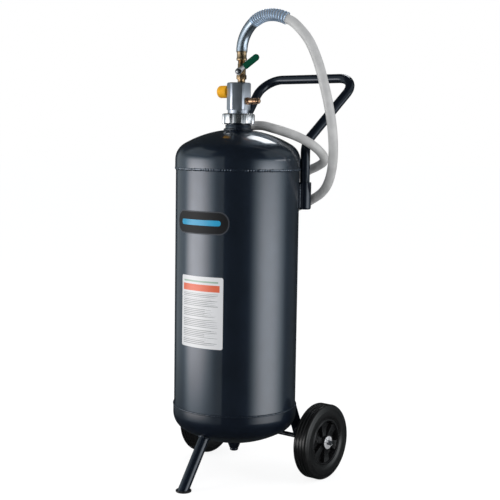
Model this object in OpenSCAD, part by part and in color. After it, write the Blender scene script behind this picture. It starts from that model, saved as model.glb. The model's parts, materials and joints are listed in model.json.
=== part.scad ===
// Wheeled blasting pot: a welded steel tank on two wheels and a front leg, with a push handle
// in two sockets, a top manifold with an outlet valve, and a long rubber hose under a spring guard.
// Lengths are in millimetres. +Z is up, the axle runs along X, and the front leg points to -Y.

/* [Tank] */
// Outer diameter of the rolled shell
tank_d = 320; // [300:2:340]
// Wall of the shell and of the dished heads
plate_t = 3; // [2:0.5:4]
// Height of the lower seam above the floor
low_seam_z = 192; // [180:2:220]
// Height of the shell that shows between the two seams
shell_h = 620; // [560:10:680]
// How far the head stands proud of the shell at the seam
head_step = 2; // [1.5:0.1:2.5]
// Straight skirt of a head
head_skirt = 20; // [16:1:28]
// Height of the lap where the head covers the shell
lap_h = 12; // [6:1:15]
// Radius of a head's knuckle
knuckle_r = 48; // [40:2:56]
// Radius of a head's crown
crown_r = 272; // [250:2:300]
// Height of the weld bead under a seam
bead_h = 3.2; // [2:0.2:5]

/* [Filler neck] */
// Outer diameter of the filler spud
spud_d = 67; // [64:1:70]
// Bore of the filler spud
spud_bore_d = 48; // [40:1:50]
// How far the spud stands above the crown before its thread
spud_rise = 11.8; // [10:0.2:20]
// Outer diameter of the spud's thread
thread_d = 60; // [58:1:62]
// Height of the spud's thread
thread_h = 18; // [14:1:22]
// Thickness of the seal ring
seal_t = 2; // [1.5:0.5:3]
// Outer diameter of the collar nut
collar_d = 84; // [80:1:90]
// Height of the collar nut
collar_h = 27; // [25:1:30]
// Thickness of the collar nut's top lip
collar_lip = 4; // [3:0.5:5]
// Grooves round the collar nut
collar_grooves = 8; // [6:1:12]
// Depth of a collar groove
groove_depth = 5; // [2:0.5:6]

/* [Manifold] */
// Distance across the flats of the hexagonal block
block_af = 56; // [54:1:62]
// Width that each upright corner of the block takes off a face
block_corner = 3.4; // [2:0.2:5]
// Height of the hexagonal block
block_h = 70; // [64:1:80]
// Height of the turned neck under the block
block_neck_h = 9; // [7:1:12]
// Sideways place of the outlet on the block
outlet_x = 8; // [5:0.5:8]
// Bore of the outlet through the block
outlet_bore_d = 12; // [10:0.5:13]
// Outer diameter of the pickup tube
pickup_d = 15; // [14:0.5:16]
// Gap between the pickup tube's foot and the bottom head
pickup_gap = 30; // [20:5:60]
// Height of the relief valve above the block's lower face
relief_rise = 23; // [16:1:30]
// Height of the air inlet above the block's lower face
inlet_rise = 47.5; // [40:0.5:52]
// Length of the inlet plug that the cap covers
inlet_plug_l = 17; // [14:1:20]
// Outer diameter of the inlet cap
cap_d = 32; // [26:1:34]
// Length of the inlet cap
cap_l = 30; // [24:1:34]
// Diameter of the relief valve's barrel
relief_d = 16; // [14:0.5:18]
// Length of the relief valve's barrel
relief_l = 22; // [18:1:26]
// Travel of the relief knob
relief_travel = 3; // [2:0.5:4]

/* [Outlet valve] */
// Height of the ball's centre above the block
ball_rise = 27; // [26:0.5:30]
// Diameter of the ball
ball_d = 16.4; // [15:0.2:17]
// Bore of the valve and its ball
valve_bore_d = 9; // [7:0.5:10]
// Diameter of the valve's round body
valve_body_d = 22; // [21:0.5:24]
// Distance across the flats of the valve's hexagon
valve_hex_af = 23; // [21:0.5:25]
// Height of the valve from the block to the ferrule
valve_h = 56; // [54:1:62]
// Direction that the valve's stem faces, in degrees round Z
stem_dir = -75; // [-90:5:-60]
// Lift of the lever above level as it stands, in degrees
lever_lift = 36; // [20:1:50]
// Length of the lever from the stem to its tip
lever_l = 68; // [60:1:72]
// Distance from the valve's axis to the lever plate
lever_out = 19; // [18:0.5:22]
// Width of the lever's grip
grip_w = 17; // [14:0.5:20]
// Diameter of the hose ferrule
ferrule_d = 27; // [26:0.5:29]
// Height of the hose ferrule
ferrule_h = 23; // [20:1:28]

/* [Hose] */
// Outer diameter of the hose
hose_d = 24; // [20:0.5:24]
// Thickness of the guard's wire
guard_wire_d = 2.2; // [1.8:0.1:2.3]
// Turns of the guard's close-wound part
guard_close_turns = 24; // [20:1:26]
// Turns of the guard's open part
guard_open_turns = 15; // [10:1:18]
// Length of the nozzle's tip
nozzle_l = 70; // [50:5:90]
// Bore of the nozzle
nozzle_bore_d = 7; // [4:0.5:9]

/* [Handle] */
// Diameter of the handle's tube
handle_d = 25; // [22:0.5:28]
// Wall of the handle's tube
handle_wall = 2; // [1.5:0.5:3]
// Direction of each socket from the tank's axis, in degrees from X
socket_angle = 47.4; // [42:0.2:52]
// Outer diameter of a socket
socket_d = 34; // [32:0.5:38]
// Height of a socket
socket_h = 71; // [50:1:90]
// Depth of a socket's mouth below the upper seam
socket_drop = 36; // [20:1:60]
// Height of the handle's bend above the upper seam
bend_rise = 66; // [50:1:90]
// Height of the grip bar above the bend
bar_rise = 177; // [140:1:200]
// Reach of the grip bar behind the uprights
bar_reach = 187; // [150:1:210]
// Spread of each corner of the grip bar outwards
bar_spread = 41; // [20:1:60]
// Bend radius of the handle's tube, on its centre line
handle_bend_r = 55; // [40:1:60]

/* [Wheels] */
// Diameter of a wheel
wheel_d = 198; // [180:2:210]
// Width of a tyre
tyre_w = 43; // [36:1:48]
// Diameter of the rim that carries the tyre
rim_d = 121; // [110:1:130]
// Distance of each wheel's middle from the tank's middle plane
wheel_x = 195; // [190:1:210]
// Distance of the axle behind the tank's axis
axle_y = 121; // [110:1:130]
// Diameter of the axle
axle_d = 12; // [10:0.5:14]
// Spokes of a wheel
spokes = 6; // [5:1:8]
// Distance of each axle bracket from the tank's middle plane
bracket_x = 127; // [120:1:132]
// Thickness of an axle bracket
bracket_t = 5; // [4:0.5:6]
// Width of an axle bracket
bracket_w = 38; // [34:1:44]

/* [Front leg] */
// Diameter of the leg's tube
leg_d = 28; // [24:0.5:32]
// Reach of the foot in front of the tank's axis
foot_y = 200.5; // [190:0.5:215]
// Lean of the leg, in degrees from upright
leg_lean = 34; // [30:1:38]
// Diameter of the foot's disc
foot_d = 40; // [34:1:50]
// Thickness of the foot's disc
foot_t = 5; // [4:0.5:8]

/* [Drain] */
// Diameter of the drain boss
drain_d = 32; // [28:1:40]
// Height of the drain boss under the head
drain_h = 22; // [18:0.5:26]
// Height of the boss's straight part
drain_neck_h = 11; // [8:0.5:16]
// Diameter of the drain plug
plug_d = 22; // [18:0.5:24]
// Height of the plug's head
plug_head_h = 6.5; // [5:0.5:8]

/* [Hidden] */
$fn = 96;

// Clearances: a joint that is pushed or welded together, a running gap, and a cut past a face
fit = 0.1;
gap = 0.3;
eps = 0.5;

// Tank
tank_r = tank_d / 2;
head_r = tank_r + head_step;
top_seam_z = low_seam_z + shell_h;
crown_drop = sqrt(pow(crown_r - knuckle_r, 2) - pow(head_r - knuckle_r, 2));
knuckle_end = atan2(crown_drop, head_r - knuckle_r);
head_rise = head_skirt - crown_drop + crown_r;
apex_z = top_seam_z + head_rise;
low_apex_z = low_seam_z - head_rise;
seam_ring_t = head_step + fit;

// Filler neck
spud_r = spud_d / 2;
spud_top_z = apex_z + spud_rise;
thread_top_z = spud_top_z + thread_h;
flange_z = thread_top_z + seal_t;
collar_z = spud_top_z + 1;
collar_top_z = collar_z + collar_h;
flange_top_z = collar_top_z - collar_lip - gap;
neck_d = thread_d - 4;

// Manifold and its fittings
block_z = collar_top_z + block_neck_h;
block_top_z = block_z + block_h;
block_face = block_af / 2;
relief_z = block_z + relief_rise;
inlet_z = block_z + inlet_rise;
port_depth = 8;
relief_port_d = 10;
inlet_port_d = 14;
inlet_hex_l = 6;
inlet_plug_d = 12;
cap_x = block_face + inlet_hex_l;
relief_hex_l = 5;
knob_x = block_face + relief_hex_l + relief_l;
knob_l = 13;
relief_stem_d = 5;

// Outlet valve
ball_z = block_top_z + ball_rise;
ball_r = ball_d / 2;
valve_top_z = block_top_z + valve_h;
valve_stud_d = 16;
stem_d = 6;
stem_boss_l = 13;
union_d = 13;
nut_af = 11;
grip_t = 6;
lever_t = 2.5;
lever_start = 20;
lever_end = lever_l - 9;
lever_r = 5.5;
ferrule_top_z = valve_top_z + ferrule_h;

// Handle and sockets
socket_r = socket_d / 2;
socket_out = tank_r + 1 + socket_r;
socket_x = socket_out * cos(socket_angle);
socket_y = socket_out * sin(socket_angle);
socket_top_z = top_seam_z - socket_drop;
socket_z = socket_top_z - socket_h;
socket_floor = 4;
handle_z = socket_z + socket_floor;
bend_z = top_seam_z + bend_rise;
bar_z = bend_z + bar_rise;
bar_y = socket_y + bar_reach;
bar_x = socket_x + bar_spread;

// The tank stands so that the middle of the whole footprint is at the origin
back_y = bar_y + handle_d / 2;
front_y = foot_y + foot_d / 2;
tank_y = -(back_y - front_y) / 2;

// Wheels
wheel_r = wheel_d / 2;
axle_z = wheel_r;
rim_r = rim_d / 2;
hub_r = 17;
bush_r = 9;
bush_l = 14;
bush_flange = 1.5;
hub_w = tyre_w - 2;
washer_t = 2;
washer_d = 34;
shaft_collar_d = 22;
shaft_collar_l = 10;
pin_d = 3.2;
pin_wire_d = 2;
pin_eye_r = 3;
pin_over = 4;
pin_tail_l = 9;
hub_face_x = wheel_x + hub_w / 2 + bush_flange + gap;
pin_x = hub_face_x + washer_t + pin_d / 2 + gap;
axle_l = 2 * (pin_x + 8);

// Route of the hose, from the ferrule over to the right, behind the uprights, over the dome
// behind the neck, round the right upright, and down behind the tank
hose_route = [
    [8, 0, 1109], [11, 0, 1132], [20, 0, 1153], [34, 0, 1171], [52, 0, 1185], [73, 1, 1194],
    [96, 3, 1197], [121, 6, 1194], [147, 10, 1184], [171, 15, 1167], [203, 22, 1129],
    [226, 29, 1077], [240, 37, 1022], [248, 48, 968], [249, 63, 914], [242, 80, 862],
    [226, 100, 817], [198, 126, 779], [159, 156, 751], [110, 178, 728], [60, 190, 708],
    [8, 197, 692], [-46, 200, 686], [-98, 200, 696], [-148, 193, 722], [-186, 176, 760],
    [-206, 150, 806], [-192, 122, 851], [-148, 108, 887], [-90, 99, 908], [-34, 86, 920],
    [20, 71, 922], [62, 60, 916], [101, 60, 907], [133, 74, 895], [154, 100, 879],
    [161, 133, 860], [155, 166, 842], [135, 192, 828], [104, 209, 816], [70, 212, 802],
    [38, 211, 778], [8, 220, 742], [-14, 233, 696], [-26, 243, 642], [-30, 248, 584],
    [-30, 249, 524], [-30, 249, 464], [-30, 249, 404], [-30, 249, 320]
];
hose_last = len(hose_route) - 1;
hose_end = hose_route[hose_last];
hose_sides = 12;
// Rings between two points of the route: more under the guard and in the loops
function hose_steps(i) = i < 9 ? 4 : (i > 20 && i < 41) ? 2 : 1;

// Blank of the leg before the head and the floor cut it, and the cuts
leg_blank_l = 240;
leg_cut = 200;
inner_cut = 30;
// Lengths of the hose coupling and of the nozzle's holder, up to the nozzle's seat
coupling_l = 24;
holder_seat = 16;

// The guard's length, counted in points of the route
guard_span = 7.9;
guard_close_span = 3.6;
guard_rings = 12;
guard_sides = 6;
guard_room = 0.7;
guard_close_r = hose_d / 2 + guard_room + guard_wire_d / 2;
guard_open_r = guard_close_r + 1.2;
guard_foot = guard_wire_d / 2 + fit;
guard_turns = guard_close_turns + guard_open_turns;

// ---- Functions ----

function unit(v) = v / norm(v);
function arc(c, r, a, b, n) = [
    for (i = [0:n]) c + r * [cos(a + (b - a) * i / n), sin(a + (b - a) * i / n)]
];

// A smooth curve through a list of points: t counts the points from the first one, and the curve
// leaves its first point straight up
function knot(p, i) =
    i < 0 ? [p[1].x, p[1].y, 2 * p[0].z - p[1].z]
    : i > len(p) - 1 ? 2 * p[len(p) - 1] - p[len(p) - 2] : p[i];
function blend(a, b, c, d, t) = 0.5 * (2 * b + (c - a) * t + (2 * a - 5 * b + 4 * c - d) * t * t
    + (3 * b - a - 3 * c + d) * t * t * t);
function along(p, t) =
    let (i = min(floor(t), len(p) - 2))
    blend(knot(p, i - 1), knot(p, i), knot(p, i + 1), knot(p, i + 2), t - i);
function heading(p, t) =
    unit(along(p, min(t + 0.02, len(p) - 1)) - along(p, max(t - 0.02, 0)));

// Turns a side vector so that it stays square to a new direction, without twisting
function carried(side, dir) = unit(side - (side * dir) * dir);
function ring(c, side, up, r, n) = [
    for (k = [0:n - 1]) c + r * (cos(360 * k / n) * side + sin(360 * k / n) * up)
];

// Faces of a tube whose rings lie one after another in the point list
function tube_faces(rings, n) = concat(
    [for (i = [0:rings - 2], k = [0:n - 1]) [i * n + k, i * n + (k + 1) % n, (i + 1) * n + k]],
    [for (i = [0:rings - 2], k = [0:n - 1])
        [i * n + (k + 1) % n, (i + 1) * n + (k + 1) % n, (i + 1) * n + k]],
    [for (k = [1:n - 2]) [0, k + 1, k]],
    [for (k = [1:n - 2]) [(rings - 1) * n, (rings - 1) * n + k, (rings - 1) * n + k + 1]]
);

// ---- Shared shapes ----

// Puts a shape on the tank's vertical axis
module on_tank(z = 0) translate([0, tank_y, z]) children();

// A turned shape from its half section
module turned(section) rotate_extrude() polygon(section);

// Lays a shape that was drawn along +Z down along a direction round Z
module facing(dir) rotate([0, 0, dir]) rotate([0, 90, 0]) children();

// Places local X, Y and Z along three unit vectors
module placed(x, y, z, c)
    multmatrix([[x.x, y.x, z.x, c.x], [x.y, y.y, z.y, c.y], [x.z, y.z, z.z, c.z], [0, 0, 0, 1]]) children();

// A round bar from a to b, with its seam turned off the plane that a bend lies in
module bar(a, b, d) {
    z = unit(b - a);
    x = unit(cross(abs(z.z) > 0.9 ? [0, 1, 0] : [0, 0, 1], z));
    placed(x, cross(z, x), z, a) rotate([0, 0, 45]) cylinder(d = d, h = norm(b - a));
}

// A bar bent at each inner point of its path, with one bend radius. Each straight runs a little way
// into its bend, which is a hair thicker, so that the faces of the two never coincide.
bend_seat = 3;
bend_swell = 0.3;
function turn_angle(p, i) = acos(unit(p[i] - p[i - 1]) * unit(p[i + 1] - p[i]));
function cut_back(p, i, r) = (i == 0 || i == len(p) - 1) ? 0 : r * tan(turn_angle(p, i) / 2);
function straight_end(p, i, r) = (i == 0 || i == len(p) - 1) ? 0 : cut_back(p, i, r) - bend_seat;
module bent_bar(p, r, d) {
    for (i = [0:len(p) - 2]) {
        u = unit(p[i + 1] - p[i]);
        bar(p[i] + u * straight_end(p, i, r), p[i + 1] - u * straight_end(p, i + 1, r), d);
    }
    for (i = [1:len(p) - 2]) {
        u = unit(p[i] - p[i - 1]);
        v = unit(p[i + 1] - p[i]);
        c = p[i] + unit(v - u) * r / cos(turn_angle(p, i) / 2);
        x = unit(p[i] - u * cut_back(p, i, r) - c);
        placed(x, u, cross(x, u), c)
            rotate_extrude(angle = turn_angle(p, i)) translate([r, 0]) circle(d = d + bend_swell);
    }
}

// ---- Tank ----

// Half section of a dished head, drawn upwards from its seam, round a hole
function head_outer(grow, hole_r) = concat(
    [[head_r + grow, 0]],
    arc([head_r - knuckle_r, head_skirt], knuckle_r + grow, 0, knuckle_end, 12),
    arc([0, head_skirt - crown_drop], crown_r + grow, knuckle_end, acos(hole_r / (crown_r + grow)), 14)
);
function reversed(p) = [for (i = [len(p) - 1:-1:0]) p[i]];
function head_section(hole_r) =
    let (inner = reversed(head_outer(-plate_t, hole_r)))
    concat(
        head_outer(0, hole_r),
        [for (i = [0:len(inner) - 2]) inner[i]],
        [[head_r - plate_t, lap_h + fit], [tank_r + fit, lap_h + fit], [tank_r + fit, 0]]
    );
// The whole outside of the tank as a solid, for shaping what is welded to it
module tank_envelope(grow) {
    section = concat(
        head_outer(grow, 0.01),
        [[0, head_rise + grow], [0, -shell_h / 2], [head_r + grow, -shell_h / 2]]
    );
    on_tank(top_seam_z) turned(section);
    on_tank(low_seam_z) mirror([0, 0, 1]) turned(section);
}
module tank_shell()
    color("#20242c") on_tank(low_seam_z - lap_h) difference() {
        cylinder(r = tank_r, h = shell_h + 2 * lap_h, $fn = 180);
        translate([0, 0, -eps]) cylinder(r = tank_r - plate_t, h = shell_h + 2 * lap_h + 2 * eps, $fn = 180);
    }
module top_head()
    color("#20242c") on_tank(top_seam_z) turned(head_section(spud_r + fit));
module bottom_head()
    color("#20242c") on_tank(low_seam_z) mirror([0, 0, 1]) turned(head_section(plug_d / 2 + fit));

// Height of the crown above its seam at a radius
function crown_at(r) = head_skirt - crown_drop + sqrt(crown_r * crown_r - r * r);
function bead_section(r) = [
    [r, 0], [r + seam_ring_t, 0], [r + seam_ring_t, -bead_h * 0.35],
    [r + seam_ring_t / 2, -bead_h * 0.8], [r, -bead_h]
];
module seam_welds() color("#20242c") {
    on_tank(top_seam_z) turned(bead_section(tank_r));
    on_tank(low_seam_z) mirror([0, 0, 1]) turned(bead_section(tank_r));
    weld_r = spud_r + 8;
    on_tank(top_seam_z) turned([
        [spud_r, crown_at(spud_r) + fit], [weld_r, crown_at(weld_r) + fit],
        [spud_r + 3, crown_at(spud_r) + 3], [spud_r, crown_at(spud_r) + 7]
    ]);
}

// ---- Filler neck ----

module filler_spud()
    color("#15171b") on_tank() difference() {
        union() {
            translate([0, 0, apex_z - 14]) cylinder(r = spud_r, h = spud_rise + 14);
            translate([0, 0, spud_top_z]) cylinder(d = thread_d, h = thread_h);
        }
        translate([0, 0, apex_z - 15]) cylinder(d = spud_bore_d, h = spud_rise + thread_h + 16);
    }
module seal_ring()
    color("#1a1a1a") on_tank(thread_top_z) difference() {
        cylinder(d = thread_d - 2, h = seal_t);
        translate([0, 0, -eps]) cylinder(d = spud_bore_d + 2, h = seal_t + 2 * eps);
    }
module collar_nut() {
    r = collar_d / 2;
    bevel = 2.5;
    color("#e4e6ea") on_tank(collar_z) difference() {
        turned([
            [thread_d / 2 + gap, 0], [r - bevel, 0], [r, bevel], [r, collar_h - bevel], [r - bevel, collar_h],
            [neck_d / 2 + gap, collar_h], [neck_d / 2 + gap, collar_h - collar_lip],
            [thread_d / 2 + gap, collar_h - collar_lip]
        ]);
        for (i = [0:collar_grooves - 1])
            rotate([0, 0, 12.5 + i * 360 / collar_grooves]) translate([0, 0, -eps])
                linear_extrude(collar_h + 2 * eps)
                    polygon([[r - groove_depth, 0], [r + 1, -groove_depth - 1], [r + 1, groove_depth + 1]]);
    }
}

// ---- Manifold ----

module hex_bar(af, h) rotate([0, 0, 30]) cylinder(r = af / 2 / cos(30), h = h, $fn = 6);
module manifold_block() {
    tip_r = block_af / 2 / cos(30);
    corner_r = norm([block_af / 2, tip_r / 2 - block_corner]) + 0.5;
    bevel = 3;
    color("#8b919c") on_tank() difference() {
        union() {
            translate([0, 0, block_z]) intersection() {
                hex_bar(block_af, block_h);
                translate([0, 0, -1]) rotate([0, 0, 30]) hex_bar(2 * tip_r - block_corner, block_h + 2);
                turned([
                    [0, 0], [corner_r - 2, 0], [corner_r, 2], [corner_r, block_h - bevel],
                    [corner_r - bevel, block_h], [0, block_h]
                ]);
            }
            translate([0, 0, flange_top_z - eps]) cylinder(d = neck_d, h = block_z - flange_top_z + eps);
            translate([0, 0, flange_z]) cylinder(d = thread_d, h = flange_top_z - flange_z);
        }
        translate([outlet_x, 0, flange_z - eps]) {
            cylinder(d = outlet_bore_d, h = block_top_z - flange_z + 2 * eps);
            cylinder(d = pickup_d + 2 * fit, h = port_depth + eps);
        }
        translate([outlet_x, 0, block_top_z - port_depth])
            cylinder(d = valve_stud_d + 2 * fit, h = port_depth + eps);
        translate([block_face - port_depth - 1, 0, relief_z]) facing(0)
            cylinder(d = relief_port_d + 2 * fit, h = port_depth + 2);
        translate([21, 0, flange_z - eps]) cylinder(d = 5, h = relief_z - flange_z + eps);
        translate([-block_face + port_depth + 1, 0, inlet_z]) facing(180)
            cylinder(d = inlet_port_d + 2 * fit, h = port_depth + 2);
        translate([-20, 0, flange_z - eps]) cylinder(d = 8, h = inlet_z - flange_z + eps);
    }
}
module pickup_tube() {
    foot_z = low_apex_z + plate_t + pickup_gap;
    color("#9a9ca0") translate([outlet_x, tank_y, foot_z]) difference() {
        cylinder(d = pickup_d, h = flange_z + port_depth - foot_z);
        translate([0, 0, -eps]) cylinder(d = outlet_bore_d, h = flange_z + port_depth - foot_z + 2 * eps);
    }
}
module inlet_nipple() {
    r = inlet_plug_d / 2;
    color("#d9a58c") on_tank(inlet_z) translate([-block_face, 0, 0]) facing(180) difference() {
        union() {
            translate([0, 0, -port_depth]) cylinder(d = inlet_port_d, h = port_depth + 4);
            hex_bar(16, 4);
            cylinder(d = 14, h = inlet_hex_l - 1);
            turned([
                [0, 0], [r, 0], [r, inlet_hex_l + 6], [r - 1.5, inlet_hex_l + 8], [r - 1.5, inlet_hex_l + 10],
                [r, inlet_hex_l + 12], [r - 1, inlet_hex_l + inlet_plug_l], [0, inlet_hex_l + inlet_plug_l]
            ]);
        }
        translate([0, 0, -port_depth - eps])
            cylinder(d = 7, h = port_depth + inlet_hex_l + inlet_plug_l + 2 * eps);
    }
}
module inlet_cap() {
    round = 6;
    bore_l = inlet_plug_l + 1;
    color("#e0a018") on_tank(inlet_z) translate([-cap_x, 0, 0]) facing(180) difference() {
        turned(concat(
            [[inlet_plug_d / 2 + gap, 0], [cap_d / 2 - 1, 0], [cap_d / 2, 1]],
            arc([cap_d / 2 - round, cap_l - round], round, 0, 90, 8),
            [[0, cap_l], [0, bore_l], [inlet_plug_d / 2 + gap, bore_l]]
        ));
        for (i = [0:17])
            rotate([0, 0, i * 20]) translate([cap_d / 2 + 0.6, 0, -eps]) cylinder(d = 2.4, h = cap_l - round);
    }
}
module relief_body()
    color("#b08050") on_tank(relief_z) translate([block_face, 0, 0]) facing(0) difference() {
        union() {
            translate([0, 0, -port_depth]) cylinder(d = relief_port_d, h = port_depth + 1);
            hex_bar(18, relief_hex_l);
            translate([0, 0, relief_hex_l - 1]) turned([
                [0, 0], [relief_d / 2 - 1, 0], [relief_d / 2, 2], [relief_d / 2, relief_l - 5],
                [relief_d / 2 - 1.5, relief_l - 4], [relief_d / 2 - 1.5, relief_l - 2],
                [relief_d / 2, relief_l - 1], [relief_d / 2, relief_l + 1], [0, relief_l + 1]
            ]);
        }
        translate([0, 0, 2]) cylinder(d = relief_stem_d + 2 * gap, h = relief_l + relief_hex_l);
        translate([0, 0, -port_depth - eps]) cylinder(d = 4, h = port_depth + 4);
        translate([0, 0, 4]) cylinder(d = relief_d - 5, h = relief_l + relief_travel - 7);
    }
module relief_knob()
    color("#b08050") on_tank(relief_z) translate([knob_x, 0, 0]) facing(0) {
        translate([0, 0, gap]) turned([
            [0, 0], [relief_d / 2 - 1.5, 0], [relief_d / 2 - 0.5, 1], [relief_d / 2 - 0.5, 4],
            [relief_d / 2 - 2.5, 5.5], [relief_d / 2 - 2.5, 7], [relief_d / 2 - 0.5, 8.5],
            [relief_d / 2 - 0.8, knob_l - 3], [relief_d / 2 - 3.5, knob_l], [0, knob_l]
        ]);
        translate([0, 0, -relief_l + 1]) cylinder(d = relief_stem_d, h = relief_l - 1 + gap + eps);
        translate([0, 0, -relief_l - 1 + gap]) cylinder(d = relief_d - 6, h = 3);
    }

// ---- Outlet valve ----

module on_outlet(z) translate([outlet_x, tank_y, z]) children();
// Draws along +Z a piece that lies on the stem's axis, with local +X up along the pipe
module on_stem() on_outlet(ball_z) rotate([0, 0, stem_dir]) rotate([0, 90, 0]) rotate([0, 0, 180]) children();
// The same, turned so that local +X runs along the lever
module on_lever() on_stem() rotate([0, 0, lever_lift - 90]) children();

module valve_body() {
    seat_h = ball_r + 3;
    body_r = valve_body_d / 2;
    hex_r = valve_hex_af / 2;
    color("#b8924e") difference() {
        union() {
            on_outlet(block_top_z) {
                translate([0, 0, -port_depth]) cylinder(d = valve_stud_d, h = port_depth + 1);
                cylinder(d = 19.5, h = 9);
                translate([0, 0, 8]) intersection() {
                    rotate([0, 0, 20]) hex_bar(valve_hex_af, 12);
                    turned([
                        [0, 0], [hex_r, 0], [hex_r + 2, 2], [hex_r + 2, 10], [hex_r, 12], [0, 12]
                    ]);
                }
                turned([
                    [0, 16], [body_r, 16], [body_r, ball_rise + 10], [body_r - 1, ball_rise + 12],
                    [body_r - 1, valve_h - 8], [body_r - 2, valve_h - 6], [body_r - 2, valve_h], [0, valve_h]
                ]);
                cylinder(d = union_d, h = valve_h + 8);
            }
            on_stem() cylinder(d = 15, h = stem_boss_l);
        }
        on_outlet(block_top_z - port_depth - eps) cylinder(d = valve_bore_d, h = valve_h + port_depth + 10);
        on_outlet(ball_z - seat_h) cylinder(r = ball_r + gap, h = 2 * seat_h);
        on_stem() cylinder(d = stem_d + 2 * gap, h = stem_boss_l + eps);
    }
}
module valve_seats() color("#f2f2ee") difference() {
    seat_h = ball_r + 3;
    union() for (s = [-1, 1])
        on_outlet(ball_z + (s > 0 ? 5 : -seat_h)) cylinder(r = ball_r + gap - fit / 2, h = seat_h - 5);
    on_outlet(ball_z) sphere(r = ball_r + gap / 2);
    on_outlet(ball_z - seat_h - eps) cylinder(d = valve_bore_d, h = 2 * seat_h + 2 * eps);
}
module valve_ball()
    color("#d8dade") on_lever() difference() {
        sphere(d = ball_d);
        translate([-ball_r - eps, 0, 0]) rotate([0, 90, 0]) cylinder(d = valve_bore_d, h = ball_d + 2 * eps);
        translate([0, 0, ball_r - 2]) cylinder(d = ball_d, h = 4);
    }
module valve_stem()
    color("#c9ccd2") on_stem() translate([0, 0, ball_r - 2])
        cylinder(d = stem_d, h = lever_out + lever_t + 6 - ball_r + 2);
module packing_nut()
    color("#c4a060") on_stem() translate([0, 0, stem_boss_l]) difference() {
        hex_bar(13, lever_out - stem_boss_l - gap);
        translate([0, 0, -eps]) cylinder(d = stem_d + 2 * gap, h = lever_out);
    }
module lever()
    color("#cfd2d6") on_lever() translate([0, 0, lever_out]) difference() {
        union() {
            cylinder(r = 9, h = lever_t);
            linear_extrude(lever_t) polygon([
                [0, -8], [lever_start, -lever_r], [lever_end, -lever_r],
                [lever_end, lever_r], [lever_start, lever_r], [0, 8]
            ]);
            translate([lever_end, 0, 0]) cylinder(r = lever_r, h = lever_t);
        }
        translate([0, 0, -eps]) cylinder(d = stem_d + fit, h = lever_t + 2 * eps);
    }
module lever_grip() {
    round = 1.5;
    color("#0b5a3a") on_lever() translate([0, 0, lever_out + lever_t / 2 - grip_t / 2]) difference() {
        hull() {
            for (z = [round, grip_t - round]) {
                for (s = [-1, 1]) translate([lever_start + 3, s * (grip_w / 2 - 2 * round), z])
                    rotate_extrude($fn = 24) translate([round, 0]) circle(r = round, $fn = 12);
                translate([lever_l - grip_w / 2, 0, z])
                    rotate_extrude($fn = 24) translate([grip_w / 2 - round, 0]) circle(r = round, $fn = 12);
            }
        }
        translate([lever_start - 1, 0, grip_t / 2 - lever_t / 2 - fit / 2]) {
            translate([0, -lever_r - fit / 2, 0])
                cube([lever_end - lever_start + 1, 2 * lever_r + fit, lever_t + fit]);
            translate([lever_end - lever_start + 1, 0, 0]) cylinder(r = lever_r + fit / 2, h = lever_t + fit);
        }
    }
}
module lever_nut()
    color("#5b5f66") on_lever() translate([0, 0, lever_out + lever_t]) difference() {
        union() {
            cylinder(d = 14, h = 1);
            translate([0, 0, 1]) hex_bar(nut_af, 4);
        }
        translate([0, 0, -eps]) cylinder(d = stem_d + fit, h = 6);
    }
module hose_ferrule() {
    r = ferrule_d / 2;
    color("#b89a6a") on_outlet(valve_top_z) difference() {
        turned([
            [0, 0], [r - 1, 0], [r, 1], [r, 6], [r - 1, 7], [r - 1, ferrule_h - 3],
            [r + 0.5, ferrule_h - 1.5], [r + 0.5, ferrule_h], [0, ferrule_h]
        ]);
        translate([0, 0, -eps]) cylinder(d = valve_bore_d, h = ferrule_h + 2 * eps);
        translate([0, 0, -eps]) cylinder(d = union_d + 2 * fit, h = 8 + fit + eps);
    }
}

// ---- Hose ----

hose_ts = [for (i = [0:hose_last - 1], k = [0:hose_steps(i) - 1]) i + k / hose_steps(i)];
hose_stops = concat(hose_ts, [hose_last]);
hose_sides_at = [
    for (i = 0, s = [0, 1, 0]; i < len(hose_stops); i = i + 1,
        s = carried(s, i < len(hose_stops) ? heading(hose_route, hose_stops[i]) : [0, 0, 1])) s
];
hose_points = [
    for (i = [0:len(hose_stops) - 1])
        let (last = len(hose_stops) - 1,
            d = i == 0 ? [0, 0, 1] : i == last ? [0, 0, -1] : heading(hose_route, hose_stops[i]),
            s = carried(hose_sides_at[i], d))
        each ring(along(hose_route, hose_stops[i]), s, cross(d, s), hose_d / 2, hose_sides)
];
// Least gap of the hose to itself, measured between points more than 200 mm apart along it
hose_line = [for (i = [0:4 * hose_last]) along(hose_route, i / 4)];
hose_run = [for (i = 0, d = 0; i < len(hose_line); d = d + (i + 1 < len(hose_line)
    ? norm(hose_line[i + 1] - hose_line[i]) : 0), i = i + 1) d];
hose_gap = min([
    for (i = [0:len(hose_line) - 1], j = [i:len(hose_line) - 1])
        if (hose_run[j] - hose_run[i] > 200) norm(hose_line[j] - hose_line[i])
]) - hose_d;
echo(hose_length = hose_run[len(hose_line) - 1], hose_least_gap = hose_gap);
module hose()
    color("#c4c4c4") translate([0, tank_y, 0])
        polyhedron(hose_points, tube_faces(len(hose_stops), hose_sides), convexity = 10);

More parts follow.
